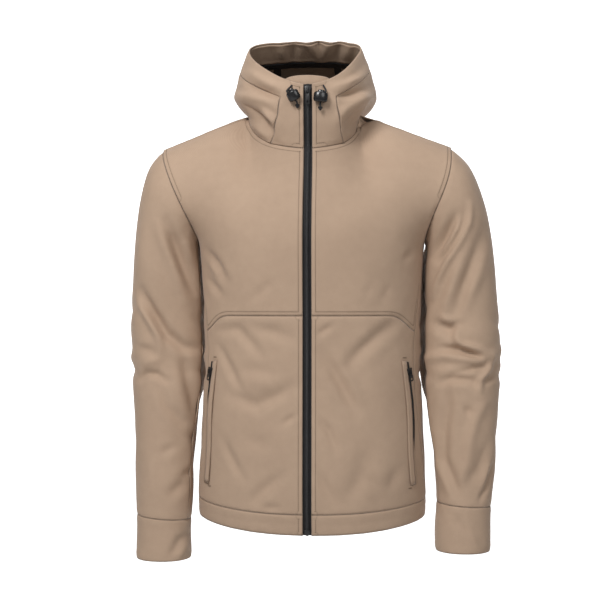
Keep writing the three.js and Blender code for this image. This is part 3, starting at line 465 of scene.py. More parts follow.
def pocket_looks(tree, scene, side):
    """Pocket zip: black where the opening gapes below its slider; where it lies closed under the shell, the
    shell's shadow colour, darker than the cloth, as painted shade in the groove.
    """
    black, shadow = scene.jacket_trims.black, scene.jacket_cloth.shell_shadow
    place = object_place(tree)
    height = add_node(tree, "ShaderNodeSeparateXYZ", {0: place}).outputs[2]
    weave = use_group(tree, "weave", place, Pitch=0.0007)
    mottle = use_group(tree, "mottle", place)
    below = calc(tree, "SUBTRACT", POCKET_CLOSED_BELOW[side], height)
    closed = calc(tree, "MULTIPLY", below, 40.0, clamp=True)
    gaping = blend_colour(tree, weave["Tone"], rgba(black, 0.6), rgba(black, 1.6))
    # Painted shade: the closed part takes the shell's shadow colour, darker than the cloth, for the shade
    # in its groove.
    shaded_lip = blend_colour(tree, mottle["Tone"], rgba(shadow, 0.8), rgba(shadow))
    return {"Base Color": blend_colour(tree, closed, gaping, shaded_lip), "Normal": bump(tree, weave["Height"]),
            "Roughness": times_plus(tree, mottle["Fine"], 0.2, 0.65)}


def paper_looks(tree, scene):
    """Pale paper that turns into its own white light behind the jacket."""
    back = add_node(tree, "ShaderNodeSeparateXYZ", {0: object_place(tree)}).outputs[1]
    behind = calc(tree, "SUBTRACT", back, scene.jacket_stage.lit_from)
    lit = calc(tree, "MULTIPLY", behind, 1.6, clamp=True)
    lit = add_node(tree, "ShaderNodeCombineColor", {0: lit, 1: lit, 2: lit}).outputs[0]
    return {"Base Color": rgba((0.7, 0.7, 0.7)), "Roughness": 0.9,
            "Emission Color": lit, "Emission Strength": 1.0}


def shell_material(context):
    return material(context, "shell cloth", shell_looks)


def enamel_material(context):
    return material(context, "zip enamel", moulded_looks, 0.28, 0.00001)


# ---------------------------------------------------------------- creases

# Creases added to those that the solids carry, in millimetres: each one's width and height, below 0
# for a trough, and then its line's points, across and up. Across is x in front and behind, and y on
# the outer sides of the sleeves.
FRONT_CREASES = [
    # left sleeve, from the armhole down
    (9, -7.5, -241, -173, -219, -233, -199, -286),
    (9, 4, -253, -178, -233, -240, -213, -303),
    (12, 2, -283, -180, -290, -250),
    (8, -7.5, -288, -286, -266, -326, -243, -360, -216, -383, -193, -390),
    (6, 5, -293, -306, -273, -336, -256, -366, -253, -386),
    (7, -3, -295, -385, -272, -388, -258, -400),
    (9, 3.5, -290, -412, -262, -404, -255, -392),
    (5.5, -4.5, -293, -440, -276, -428, -259, -429, -239, -442),
    (9, -6, -216, -400, -208, -440, -200, -475, -193, -505),
    (8, -3, -252, -455, -240, -485, -218, -508, -206, -514),
    (7, -4, -202, -527, -194, -556),
    (7, -2, -252, -562, -228, -550),
    (7, -3, -214, -601, -196, -590),
    (9, -3, -236, -633, -212, -610),
    (13, 2, -269, -555, -265, -640),
    (7, -2.6, -232, -731, -219, -707, -199, -699),
    (6, 1.6, -222, -735, -205, -716),
    # right sleeve
    (8, -6.5, 245, -161, 223, -203, 208, -232),
    (5, 3, 250, -173, 235, -203, 218, -226),
    (6, -5, 262, -156, 252, -189, 232, -223, 218, -240),
    (5.5, 5.5, 267, -146, 262, -176, 247, -206, 230, -236, 213, -273, 205, -300),
    (11, -4.5, 293, -179, 283, -210, 270, -250, 257, -283, 250, -313, 247, -336),
    (10, 4, 250, -236, 237, -283, 227, -310, 223, -336),
    (9, 3.5, 290, -223, 277, -263, 263, -296, 253, -330),
    (6, 3, 218, -332, 234, -338, 246, -334),
    (9, -6, 214, -343, 231, -352, 245, -346),
    (6, 5, 245, -350, 245, -366, 253, -378, 283, -386, 303, -396),
    (5, -7, 224, -384, 248, -384, 267, -391, 287, -400),
    (7, 5, 198, -403, 223, -397, 255, -402, 283, -403, 303, -398),
    (4.5, -3.5, 237, -423, 263, -420, 293, -410),
    (7, -6, 217, -440, 237, -433, 263, -435, 277, -442),
    (5, 4.5, 305, -400, 300, -417, 284, -435, 282, -453),
    (6, -3, 290, -437, 313, -430),
    (9, 3.5, 280, -453, 290, -473, 277, -497, 267, -530, 260, -570, 250, -603),
    (6, -3, 257, -480, 270, -493),
    (9, -5, 227, -450, 230, -480, 223, -520, 223, -570, 240, -610, 250, -633),
    (9, -3, 300, -530, 280, -583, 260, -610),
    (4.5, -3.5, 305, -577, 293, -614, 282, -634),
    (5, 2, 298, -570, 286, -612),
    (7, 3, 213, -570, 223, -597, 237, -630),
    (8, -2.4, 243, -660, 263, -690),
    (7, 2.2, 250, -660, 270, -697, 277, -714),
    # left lower front
    (8, -3, -150, -354, -115, -351, -92, -374, -76, -393),
    (9, -2.5, -89, -351, -57, -354, -21, -367),
    (6.5, -3, -150, -380, -137, -400, -124, -425, -110, -448),
    (10, -1.6, -114, -416, -50, -422),
    (10, -4, -127, -461, -82, -474, -50, -458, -24, -443),
    (12, 2.4, -95, -438, -60, -432),
    (5, -2.4, -40, -503, -18, -490),
    (12, -2, -102, -528, -57, -541),
    (7, -2.6, -140, -535, -121, -570, -105, -593),
    (9, -3, -95, -635, -69, -609, -40, -586),
    (6, -2, -75, -640, -40, -640),
    # right lower front
    (9, -4.4, 21, -387, 40, -412, 60, -448, 79, -487),
    (9, 2, 46, -395, 88, -468),
    (10, -4, 143, -339, 111, -364, 85, -387, 63, -412),
    (5, -2.4, 18, -358, 40, -345),
    (6.5, -3, 18, -496, 34, -512, 50, -548),
    (8, -3, 18, -583, 34, -612, 46, -631),
    (14, -3.2, 95, -554, 85, -593, 66, -625),
    (10, -1.8, 130, -612, 150, -577),
    (9, -2, 98, -586, 117, -612),
    # chest, below the left underarm and beside the zip
    (6.5, -3.4, -174, -218, -155, -239, -135, -271),
    (5, 2.2, -166, -240, -150, -262),
    (6, -2.6, -172, -266, -143, -295),
    (8, -1.6, -90, -303, -58, -274),
    (7, -0.7, 95, -298, 104, -276),
    (6, -0.8, 123, -305, 132, -280),
    (6, -2, 158, -236, 172, -222),
    # hood: the casing's roll and seam, the drape beside the neck
    (5, -3, -109, 68, -101, 58, -88, 51, -65, 41, -46, 31),
    (6, 3.4, -104, 84, -85, 68, -62, 53, -39, 43),
    (5, -3, 102, 61, 92, 50, 74, 38, 46, 31),
    (6, 3.4, 96, 84, 82, 66, 63, 53, 36, 43),
    (8, 5, -124, 44, -98, 36, -70, 24, -54, 12),
    (8, -7.5, -122, 22, -104, 14, -86, 2, -70, -14, -60, -24),
    (6, 3.5, -102, -2, -84, -14, -70, -30),
    (5, 3, -70, 8, -59, -10, -52, -34),
    (5, -2.5, -82, 44, -64, 34, -50, 30),
    (8, 4.6, 112, 40, 94, 33, 72, 20, 54, 8),
    (8, -6.5, 114, 20, 96, 10, 80, -2, 66, -16),
    (6, 3, 92, -6, 78, -18, 66, -32),
    (5, -2.5, 78, 42, 62, 33, 50, 29),
    # hood sides over the neck seam
    (7, -2.8, -92, -2, -68, -16),
    (6, 2, -80, 10, -58, -8),
    (6, -2.6, 62, -16, 80, 0),
    (6, 2, 50, -6, 64, 14),
]
BACK_CREASES = [
    # hood facing, drawn up behind the cord
    (6, -3.6, -14, 146, 2, 134, 10, 118),
    (6, -3.6, 36, 145, 24, 134, 14, 118),
    (5, 3, 11, 146, 11, 136),
    (7, 3, -30, 144, -40, 118),
    (7, -2.8, -58, 142, -50, 118),
    (7, 2.8, 48, 144, 38, 118),
    (7, -2.4, 68, 142, 58, 118),
    (10, -3, -80, 40, -20, 30, 50, 38),
    (9, 2.4, -100, 70, -60, 48),
    (9, 2.4, 86, 74, 48, 50),
    # back of the body
    (11, -4, -165, -200, -135, -235, -95, -262),
    (8, 2.5, -172, -225, -140, -262),
    (12, -4, 168, -205, 130, -245, 84, -268),
    (7, 2.6, 160, -240, 128, -272),
    (14, -3, -120, -150, -104, -205),
    (15, -3, 112, -140, 96, -210),
    (11, -4, -150, -400, -90, -424, -30, -418),
    (10, 2.4, -120, -442, -62, -446),
    (12, -3.6, 145, -420, 88, -446, 40, -440),
    (12, -3, -52, -474, 12, -488, 60, -478),
    (12, -3, -140, -540, -96, -598),
    (13, -2.6, 30, -560, 74, -622),
    (11, -2.6, 138, -530, 120, -600),
    (10, -2, -30, -590, -10, -640),
    # backs of the sleeves
    (9, -5, -244, -170, -222, -232, -206, -280),
    (9, 3, -262, -190, -240, -262),
    (8, -5.5, -292, -366, -252, -388, -214, -384),
    (7, 4, -296, -398, -250, -412, -216, -404),
    (7, -4.5, -294, -430, -262, -440, -226, -428),
    (11, -3, -280, -520, -250, -600),
    (8, -2.6, -216, -560, -232, -620),
    (9, -5, 246, -160, 228, -220, 212, -270),
    (10, 3, 268, -186, 250, -250, 232, -300),
    (8, -5.5, 302, -358, 262, -384, 222, -378),
    (7, 4, 304, -396, 258, -408, 220, -398),
    (7, -4.5, 304, -434, 268, -438, 228, -424),
    (11, -3, 288, -510, 262, -590),
    (8, -2.6, 222, -550, 240, -618),
]
LEFT_CREASES = [
    # outer sides of the sleeves
    (10, -2, -40, -300, 0, -336, 40, -350),
    (9, 2, -46, -392, -6, -404, 36, -396),
    (9, -2.2, -48, -432, -10, -424, 34, -438),
    (12, -2.5, -30, -540, -4, -610),
]
RIGHT_CREASES = [
    (10, -1.8, -44, -330, 0, -352, 40, -346),
    (9, 2, -50, -396, -8, -388, 38, -398),
    (9, -2, -50, -422, -4, -432, 36, -424),
    (12, -2.5, -26, -520, -8, -600),
]
# Each side's creases, its axes across and out of it, and the sign of the way out
CREASED_SIDES = ((FRONT_CREASES, 0, 1, -1), (BACK_CREASES, 0, 1, 1),
                 (LEFT_CREASES, 1, 0, -1), (RIGHT_CREASES, 1, 0, 1))
MILLIMETRE = 0.001
# How steeply a crease fades where the cloth turns away, and the height and place of the low swell
# beside it, as shares of its own height and width
FACING_GAIN = 1.6
SWELL_SHARE, SWELL_WIDTHS = 0.22, 1.9
# The share of a crease's taper that is cut off at each end, and the taper's bluntness
TAPER_CUT, TAPER_POWER = 0.07, 0.8
RIPPLE_WAVES = 7


def crease_shape(flat, line, width):
    """One crease's height at each point, 1 on its line, with a low swell the other way on both sides."""
    best = np.full(len(flat), 1e9)
    side = np.zeros(len(flat))
    travel = np.zeros(len(flat))
    lengths = np.hypot(*(line[1:] - line[:-1]).T)
    done = 0.0
    for start, end, length in zip(line[:-1], line[1:], lengths):
        along = (end - start) / length
        offset = flat - start
        share = np.clip(offset @ along, 0, length)
        distance = np.hypot(*(offset - share[:, None] * along).T)
        nearer = distance < best
        best = np.where(nearer, distance, best)
        side = np.where(nearer, offset @ np.array([-along[1], along[0]]), side)
        travel = np.where(nearer, (done + share) / lengths.sum(), travel)
        done += length
    taper = np.sin(np.pi * np.clip(travel * (1 - 2 * TAPER_CUT) + TAPER_CUT, 0, 1)) ** TAPER_POWER
    swell = np.exp(-((np.abs(side) - SWELL_WIDTHS * width) / width) ** 2)
    swell *= np.exp(-(np.abs(best - np.abs(side)) / width) ** 2)
    return taper * (np.exp(-(best / width) ** 2) - SWELL_SHARE * swell)


def crease_heights(points, normals):
    """How far each point of the cloth is raised by the creases, in metres."""
    raised = np.zeros(len(points))
    for creases, across, out, sign in CREASED_SIDES:
        facing = np.clip(normals[:, out] * sign * FACING_GAIN, 0, 1)
        if not facing.any():
            continue
        flat = points[:, [across, 2]] / MILLIMETRE
        for width, height, *line in creases:
            shape = crease_shape(flat, np.array(line, dtype=float).reshape(-1, 2), width)
            raised += height * MILLIMETRE * facing * shape
    return raised


def ripple(points, size, seed):
    """Soft unevenness, about -1 to 1, with waves of the given size in metres."""
    maker = np.random.RandomState(seed)
    total = np.zeros(len(points))
    for _ in range(RIPPLE_WAVES):
        way = maker.normal(size=3)
        way /= np.linalg.norm(way)
        wave = 2 * math.pi / (size * maker.uniform(0.75, 1.5))
        total += np.sin(points @ way * wave + maker.uniform(0, 6.28))
    return total / 4.0


# ---------------------------------------------------------------- cloth

def mark_faces(piece, middle):
    """Finds the rim, outer and inner faces of a cloth piece and creases its rim."""
    shape = bmesh.new()
    shape.from_mesh(piece.data)
    shape.faces.ensure_lookup_table()
    is_rim = [min(e.calc_length() for e in f.edges) < WALL_REACH for f in shape.faces]
    group = [-1] * len(shape.faces)
    groups = []
    for first in shape.faces:
        if is_rim[first.index] or group[first.index] >= 0:
            continue
        group[first.index] = len(groups)
        waiting, sign = [first], 0.0
        while waiting:
            face = waiting.pop()
            sign += face.calc_area() * face.normal.dot(face.calc_center_median() - Vector(middle))
            for edge in face.edges:
                for other in edge.link_faces:
                    if not is_rim[other.index] and group[other.index] < 0:
                        group[other.index] = len(groups)
                        waiting.append(other)
        groups.append(OUTER if sign > 0 else INNER)
    if len(groups) != 2 or groups[0] == groups[1]:
        raise RuntimeError(f"{piece.name}: its faces fall into {len(groups)} sides {groups}")
    for face in shape.faces:
        face.material_index = RIM if is_rim[face.index] else groups[group[face.index]]
    crease = shape.edges.layers.float.get("crease_edge") or shape.edges.layers.float.new("crease_edge")
    for edge in shape.edges:
        sides = {f.material_index for f in edge.link_faces}
        if len(sides) > 1:
            edge[crease] = 1.0
        elif sides == {RIM} and edge.calc_length() < WALL_REACH:
            if edge.calc_face_angle(0.0) > RIM_ANGLE:
                edge[crease] = 1.0
    shape.to_mesh(piece.data)
    shape.free()


def face_arrays(mesh):
    """Corner points of the quads, and each face's side."""
    count = len(mesh.polygons)
    totals = np.empty(count, dtype=np.int64)
    mesh.polygons.foreach_get("loop_total", totals)
    if not (totals == 4).all():
        raise RuntimeError(f"{mesh.name}: not all faces are quads")
    corners = np.empty(len(mesh.loops), dtype=np.int64)
    mesh.loops.foreach_get("vertex_index", corners)
    sides = np.empty(count, dtype=np.int64)
    mesh.polygons.foreach_get("material_index", sides)
    return corners.reshape(-1, 4), sides


def outer_normals(points, quads, sides):
    """Normals of the outer face alone, so that the rim doesn't tilt them."""
    outer = quads[sides == OUTER]
    across = points[outer[:, 2]] - points[outer[:, 0]]
    up = points[outer[:, 3]] - points[outer[:, 1]]
    facing = np.cross(across, up)
    normals = np.zeros_like(points)
    for corner in range(4):
        np.add.at(normals, outer[:, corner], facing)
    lengths = np.linalg.norm(normals, axis=1)
    used = np.unique(outer)
    normals[used] /= lengths[used][:, None]
    return normals, used


def rim_lines(quads, sides, side=OUTER):
    """Edges where the given side meets the rim, as pairs of points, in the side's own winding."""
    owned = {}
    for quad in quads[sides == side].tolist():
        owned.update(dict.fromkeys(zip(quad, quad[1:] + quad[:1])))
    return [pair for pair in owned if pair[::-1] not in owned]


def rim_tree(points, lines, spacing=0.001):
    samples = []
    for a, b in lines:
        steps = max(1, int(np.linalg.norm(points[b] - points[a]) / spacing))
        samples += [points[a] + (points[b] - points[a]) * (k / steps) for k in range(steps)]
    return point_tree(samples, range(len(samples)))


def rim_way(points, quads, sides):
    """The way out of the piece at its rim, for each point, and nothing elsewhere."""
    rim = quads[sides == RIM]
    facing = np.cross(points[rim[:, 2]] - points[rim[:, 0]], points[rim[:, 3]] - points[rim[:, 1]])
    way = np.zeros_like(points)
    for corner in range(4):
        np.add.at(way, rim[:, corner], facing)
    lengths = np.linalg.norm(way, axis=1)
    return way / np.maximum(lengths, 1e-12)[:, None]


def even_wall(points, normals, source, inner, gaps, wall):
    """Keeps the inner face one wall's thickness behind the outer one, away from the rim."""
    outward = normals[source[inner]]
    depth = np.einsum("ij,ij->i", points[source[inner]] - points[inner], outward)
    share = np.clip(gaps[inner] / WALL_FADE, 0, 1)
    moved = points.copy()
    moved[inner] += outward * ((depth - wall) * share)[:, None]
    return moved


def lay_cloth_map(mesh, points, quads, middle):
    """A map in metres round and up the piece, for the weave."""
    angle = np.arctan2(points[:, 0] - middle[0], -(points[:, 1] - middle[1]))
    reach = float(np.mean(np.hypot(points[:, 0] - middle[0], points[:, 1] - middle[1])))
    turns = angle[quads]
    turns = turns[:, :1] + (turns - turns[:, :1] + math.pi) % (2 * math.pi) - math.pi
    layer = mesh.uv_layers.new(name="cloth")
    flat = np.stack([turns * reach, points[:, 2][quads]], axis=2)
    layer.data.foreach_set("uv", flat.ravel())


# Which points of a piece's own edge have topstitching beside them, by x, y, z in metres
SEWN_EDGES = {
    "front_upper": lambda x, y, z: abs(x) < 0.012 or z > -0.133 or z < -0.312,
    "front_lower": lambda x, y, z: abs(x) < 0.012,
    "hem_band": lambda x, y, z: abs(x) < 0.012 and y < 0,
    "hood_band": lambda x, y, z: abs(x) < 0.024 and y < -0.09,
    "hood_centre": lambda x, y, z: abs(x + 0.011) > 0.02 and 0.05 < z < 0.135,
    "back": lambda x, y, z: (-0.133 < z < -0.056 and abs(x) > 0.15) or abs(x) < 0.1 and z > -0.1,
}

# How the cloth lies, in metres: broad waves that fade toward a seam, the dip's reach at the seam,
# the roll beside it, the fine pucker along it, and where the wall comes to its full thickness
WAVE_SIZE, WAVE_HEIGHT, WAVE_FADE = 0.075, 0.0007, 0.012
DIP_REACH = 0.0022
ROLL_HEIGHT, ROLL_PLACE, ROLL_WIDTH = 0.00035, 0.0085, 0.004
PUCKER_SIZE, PUCKER_HEIGHT, PUCKER_REACH = 0.017, 0.0003, 0.009
WALL_FADE = 0.006


def base_name(node_name):
    return node_name.replace("_left", "").replace("_right", "")


def smooth_cloth(node_name, middle, level):
    """A cloth piece's solid, with its sides told apart and its cells halved."""
    piece = copy_of_node(node_name, node_name + "_cloth")
    mark_faces(piece, middle)
    for layer in list(piece.data.uv_layers):
        piece.data.uv_layers.remove(layer)
    apply_modifier(piece, "SUBSURF", levels=level, render_levels=level)
    return piece


def sew_cloth(context, node_name, middle, level=None, looks=None, uneven=WAVE_HEIGHT, slot="shell",
              wall=WALL, dip=None):
    """One cut piece of cloth: smoothed from its solid, creased, rolled at its seams, and declared."""
    cloth = context.scene.jacket_cloth
    piece = smooth_cloth(node_name, middle, level or cloth.subdivision)
    mesh = piece.data
    points = points_of(mesh)
    quads, sides = face_arrays(mesh)
    normals, outer = outer_normals(points, quads, sides)
    edge = rim_lines(quads, sides)
    tree = rim_tree(points, edge + rim_lines(quads, sides, INNER))
    gaps = np.array([tree.find(p)[2] for p in points])
    rule = SEWN_EDGES.get(base_name(node_name))
    sewn = [pair for pair in edge if rule and rule(*points[pair[0]])]
    stitch_gaps = np.full(len(points), FAR)
    if sewn:
        tree = rim_tree(points, sewn)
        stitch_gaps = np.array([tree.find(p)[2] for p in points])
    nearest = point_tree(points[outer], outer)
    source = np.arange(len(points))
    for k in np.setdiff1d(source, outer):
        source[k] = nearest.find(points[k])[1]
    raised = crease_heights(points, normals) * cloth.crease_depth
    raised += ripple(points, WAVE_SIZE, 3) * uneven * (1 - np.exp(-gaps / WAVE_FADE))
    raised -= (cloth.seam_dip if dip is None else dip) * np.exp(-(gaps / DIP_REACH))
    raised += ROLL_HEIGHT * np.exp(-((gaps - ROLL_PLACE) / ROLL_WIDTH) ** 2)
    raised += ripple(points, PUCKER_SIZE, 8) * PUCKER_HEIGHT * np.exp(-gaps / PUCKER_REACH)
    points = points + normals[source] * raised[source][:, None]
    points = points + rim_way(points, quads, sides) * SEAM_CLOSING
    points = even_wall(points, normals, source, np.unique(quads[sides == INNER]), gaps, wall)
    set_points(mesh, points)
    for name, values in (("seam_gap", gaps), ("stitch_gap", stitch_gaps)):
        mesh.attributes.new(name, "FLOAT", "POINT").data.foreach_set("value", values)
    lay_cloth_map(mesh, points, quads, middle)
    shell = shell_material(context)
    for made in looks or (shell, shell, material(context, "fleece lining", lining_looks)):
        mesh.materials.append(made)
    mesh.shade_smooth()
    declare(piece, "jacket", slot, node_name)


class JACKET_OT_back(Operator):
    """Sew the back, one piece from the hem to the neck"""
    bl_idname = "jacket.back"
    bl_label = "Back"

    def execute(self, context):
        sew_cloth(context, "back", BODY_MIDDLE)
        return {"FINISHED"}


class JACKET_OT_fronts(Operator):
    """Sew the upper and lower fronts"""
    bl_idname = "jacket.fronts"
    bl_label = "Fronts"

    def execute(self, context):
        for side in SIDES:
            for part in ("front_upper_", "front_lower_"):
                sew_cloth(context, part + side, BODY_MIDDLE)
        return {"FINISHED"}


class JACKET_OT_sleeves(Operator):
    """Sew the two-piece sleeves and their cuffs"""
    bl_idname = "jacket.sleeves"
    bl_label = "Sleeves and cuffs"

    def execute(self, context):
        for side, middle in SLEEVE_MIDDLES.items():
            for part in ("top_sleeve_", "under_sleeve_", "cuff_"):
                sew_cloth(context, part + side, middle)
        return {"FINISHED"}


class JACKET_OT_hem(Operator):
    """Sew the hem band round the body"""
    bl_idname = "jacket.hem"
    bl_label = "Hem band"

    def execute(self, context):
        sew_cloth(context, "hem_band", BODY_MIDDLE)
        return {"FINISHED"}


# Seam dip of the hood's panels, and the walls of the facings and welts and of the binding, in metres
HOOD_DIP = 0.0003
THIN_WALL = 0.0012
BINDING_WALL = 0.001


class JACKET_OT_hood(Operator):
    """Sew the three-panel hood, its band, its facing and its black trims"""
    bl_idname = "jacket.hood"
    bl_label = "Hood"

    def execute(self, context):
        for panel in ("hood_side_left", "hood_side_right", "hood_centre", "hood_band"):
            sew_cloth(context, panel, HOOD_MIDDLE, dip=HOOD_DIP)
        shell = [shell_material(context)] * 3
        for facing, level in (("hood_facing", 3), ("neck_facing", 2)):
            sew_cloth(context, facing, HOOD_MIDDLE, level, shell, wall=THIN_WALL, dip=0)
        binding = [material(context, "binding tape", webbing_looks, 0.0008, 0.7)] * 3
        sew_cloth(context, "hood_binding", HOOD_MIDDLE, 2, binding, 0.0004, "tape", BINDING_WALL, 0)
        for side in SIDES:
            soften_tape(context, "hood_tape_" + side, "tape", 2)
        return {"FINISHED"}


# ---------------------------------------------------------------- topstitching

def rim_chains(pairs):
    """Edge pairs joined up into runs of points."""
    following = dict(pairs)
    starts = [a for a in following if a not in set(following.values())]
    runs, used = [], set()
    for start in starts + list(following):
        if start in used:
            continue
        run = [start]
        used.add(start)
        while run[-1] in following and following[run[-1]] not in used:
            run.append(following[run[-1]])
            used.add(run[-1])
        runs.append(run)
    return [run for run in runs if len(run) > 2]


# Distance each way along an edge over which a stitch takes its direction, and how far from its
# proper inset, as a share, a stitch may lie before it is left out
STITCH_REACH = 0.006
STITCH_SLACK = 0.12


def stitch_places(piece, rule, inset, pitch):
    """Place, direction and normal of each stitch beside the sewn edges of a cloth piece."""
    points = points_of(piece.data)
    quads, sides = face_arrays(piece.data)
    pairs = rim_lines(quads, sides)
    everywhere = rim_tree(points, pairs)
    skin = skin_of(piece.data, [tuple(quad) for quad in quads[sides == OUTER].tolist()])
    places = []
    for run in rim_chains([pair for pair in pairs if rule(*points[pair[0]])]):
        line = points[run]
        reached = distances_along(line)
        for at in np.arange(pitch / 2, reached[-1], pitch):
            here = Vector(point_on(line, reached, at))
            ahead = point_on(line, reached, min(at + STITCH_REACH, reached[-1]))
            behind = point_on(line, reached, max(at - STITCH_REACH, 0))
            along = Vector(ahead - behind).normalized()
            inward = skin.find_nearest(here)[1].cross(along).normalized()
            found, normal, _, _ = skin.find_nearest(here + inward * inset)
            if abs(everywhere.find(found)[2] - inset) <= inset * STITCH_SLACK:
                places.append((found, along, normal))
    return places


def model_bar(name, radius, depth, draw, drop, ends):
    """A short six-sided bar along x. Each end is drawn out, let down and widened by its two shares."""
    bpy.ops.object.select_all(action="DESELECT")
    bpy.ops.mesh.primitive_cylinder_add(
        vertices=6, radius=radius, depth=depth, end_fill_type="NGON", rotation=(0, math.pi / 2, 0))
    bar = bpy.context.active_object
    bar.name = name
    bpy.ops.object.transform_apply(location=True, rotation=True, scale=True)
    for sign, size in ends.items():
        draw_out(bar, "FACE", lambda face: face.normal.x * sign > 0.9, (sign * draw, 0, -drop), (1, *size))
    return bar


def repeat_mesh(name, model, frames):
    """One mesh that holds a copy of the model at each frame, a 4x4 array."""
    places = points_of(model.data)
    faces = [tuple(polygon.vertices) for polygon in model.data.polygons]
    corners = np.concatenate([places, np.ones((len(places), 1))], axis=1)
    frames = np.array(frames)
    points = np.einsum("nij,mj->nmi", frames, corners)[:, :, :3].reshape(-1, 3)
    every = [tuple(k + copy * len(places) for k in face) for copy in range(len(frames)) for face in faces]
    mesh = bpy.data.meshes.new(name)
    mesh.from_pydata(points.tolist(), [], every)
    mesh.update()
    mesh.shade_smooth()
    piece = new_piece(name, mesh)
    bpy.data.objects.remove(model, do_unlink=True)
    return piece


def frame_of(place, along, normal, lift=0.0):
    across = normal.cross(along).normalized()
    along = across.cross(normal).normalized()
    place = place + normal * lift
    return np.array([[along[k], across[k], normal[k], place[k]] for k in range(3)] + [[0, 0, 0, 1]])


# Bar tacks across both ends of each pocket, in metres: where each starts and ends from the zip, and
# its height. Then the drop of each row, the way from one stitch to the next and a stitch's middle.
BAR_TACKS = (((0.1565, 0.1690), -0.3975), ((0.1645, 0.1765), -0.6125))
BAR_ROWS = (0.0, 0.0012)
BAR_PITCH, BAR_MIDDLE = 0.0029, 0.0014
BEFORE_POCKET = -0.085


def tack_places(piece, sign):
    """Places, ways along and normals of the bar tacks' stitches on a lower front."""
    skin = skin_of(piece.data)
    places = []
    for (start, end), height in BAR_TACKS:
        for drop in BAR_ROWS:
            for x in np.arange(start, end, BAR_PITCH):
                near = Vector((sign * (x + BAR_MIDDLE), BEFORE_POCKET, height - drop))
                hit, normal, _, _ = skin.find_nearest(near)
                places.append((hit, Vector((sign, 0, 0)), normal))
    return places


class JACKET_OT_topstitching(Operator):
    """Sew the topstitching beside the seams"""
    bl_idname = "jacket.topstitching"
    bl_label = "Topstitching"

    def execute(self, context):
        stitching = context.scene.jacket_stitching
        thickness, length = stitching.thread_thickness, stitching.stitch_pitch * 0.8
        places = []
        for piece in list(context.scene.objects):
            rule = SEWN_EDGES.get(base_name(piece.name.removesuffix("_cloth")))
            if rule and piece.name.endswith("_cloth"):
                places += stitch_places(piece, rule, stitching.inset, stitching.stitch_pitch)
        for side, sign in SIDES.items():
            places += tack_places(context.scene.objects[f"front_lower_{side}_cloth"], sign)
        frames = [frame_of(*place, lift=thickness * 0.12) for place in places]
        stitch = model_bar("stitch", thickness / 2, length * 0.6, length * 0.2, thickness * 0.55,
                           {-1: (0.45, 0.45), 1: (0.45, 0.45)})
        piece = repeat_mesh("topstitching", stitch, frames)
        piece.data.materials.append(material(context, "sewing thread", thread_looks))
        declare(piece, "jacket", "shell")
        return {"FINISHED"}


# ---------------------------------------------------------------- tapes, zips, cord and locks

TAPE_BEVEL = 0.0003
TAPE_PITCH = 0.0009


def soften_tape(context, node_name, slot, level):
    """A woven tape, from its solid, with its faces smoothed along its length."""
    tape = copy_of_node(node_name, node_name + "_weave")
    apply_modifier(tape, "BEVEL", width=TAPE_BEVEL, segments=1, limit_method="ANGLE",
                   angle_limit=TAPE_ANGLE)
    apply_modifier(tape, "SUBSURF", levels=level, render_levels=level)
    tape.data.materials.append(material(context, "woven tape", webbing_looks, TAPE_PITCH, 0.62))
    tape.data.shade_smooth()
    declare(tape, "jacket", slot, node_name)


def round_edges(node_name, body, made, slot, width=0.0004, segments=3):
    """A hard trim with the rounded edges of its moulding or casting."""
    trim = copy_of_node(node_name, node_name + "_rounded")
    apply_modifier(trim, "BEVEL", width=width, segments=segments, limit_method="ANGLE",
                   angle_limit=TRIM_ANGLE, use_clamp_overlap=True)
    trim.data.materials.append(made)
    pick_only(trim)
    bpy.ops.object.shade_smooth_by_angle(angle=SHADING_ANGLE)
    for modifier in list(trim.modifiers):
        bpy.ops.object.modifier_apply(modifier=modifier.name)
    declare(trim, body, slot, node_name)


def smooth_route(stops, count):
    """Points at even distances on a smooth line through the stops."""
    stops = np.array(stops, dtype=float)
    fine = []
    for k in range(len(stops) - 1):
        before, start = stops[max(k - 1, 0)], stops[k]
        end, after = stops[k + 1], stops[min(k + 2, len(stops) - 1)]
        for t in np.linspace(0, 1, CORD_POINTS, endpoint=False):
            bend = (2 * before - 5 * start + 4 * end - after) * t ** 2
            turn = (3 * start - before - 3 * end + after) * t ** 3
            fine.append(0.5 * (2 * start + (end - before) * t + bend + turn))
    fine = np.array(fine + [stops[-1]])
    reached = distances_along(fine)
    return point_on(fine, reached, np.linspace(0, reached[-1], count))


def cord_tube(name, route, radius, around=12, closed=False):
    """A round cord along a route, with a braid map round and along it."""
    route = [Vector(p) for p in route]
    count = len(route)
    side = Vector((0.31, 0.2, 0.93))
    points, travelled, reached = [], [0.0], 0.0
    for k in range(count):
        ahead = route[(k + 1) % count] if closed else route[min(k + 1, count - 1)]
        behind = route[k - 1] if closed or k else route[0]
        along = (ahead - behind).normalized()
        side = (side - along * side.dot(along)).normalized()
        up = along.cross(side)
        end = not closed and k in (0, count - 1)
        for step in range(around):
            turn = 2 * math.pi * step / around
            spoke = side * math.cos(turn) + up * math.sin(turn)
            points.append(route[k] + spoke * radius * (0.8 if end else 1))
        if k:
            reached += (route[k] - route[k - 1]).length
            travelled.append(reached)
    faces, flat = [], []
    for k in range(count if closed else count - 1):
        for step in range(around):
            a, b = k * around + step, k * around + (step + 1) % around
            c, d = (b + around) % len(points), (a + around) % len(points)
            faces.append((a, b, c, d))
            low = travelled[k]
            high = travelled[k + 1] if k + 1 < count else travelled[k] + 0.001
            left, right = step * 2 * math.pi * radius / around, (step + 1) * 2 * math.pi * radius / around
            flat += [(left, low), (right, low), (right, high), (left, high)]
    if not closed:
        faces.append(tuple(reversed(range(around))))
        faces.append(tuple(range((count - 1) * around, count * around)))
        flat += [(0, 0)] * (2 * around)
    mesh = bpy.data.meshes.new(name)
    mesh.from_pydata([tuple(p) for p in points], [], faces)
    layer = mesh.uv_layers.new(name="braid")
    layer.data.foreach_set("uv", np.array(flat).ravel())
    mesh.update()
    mesh.shade_smooth()
    return new_piece(name, mesh)


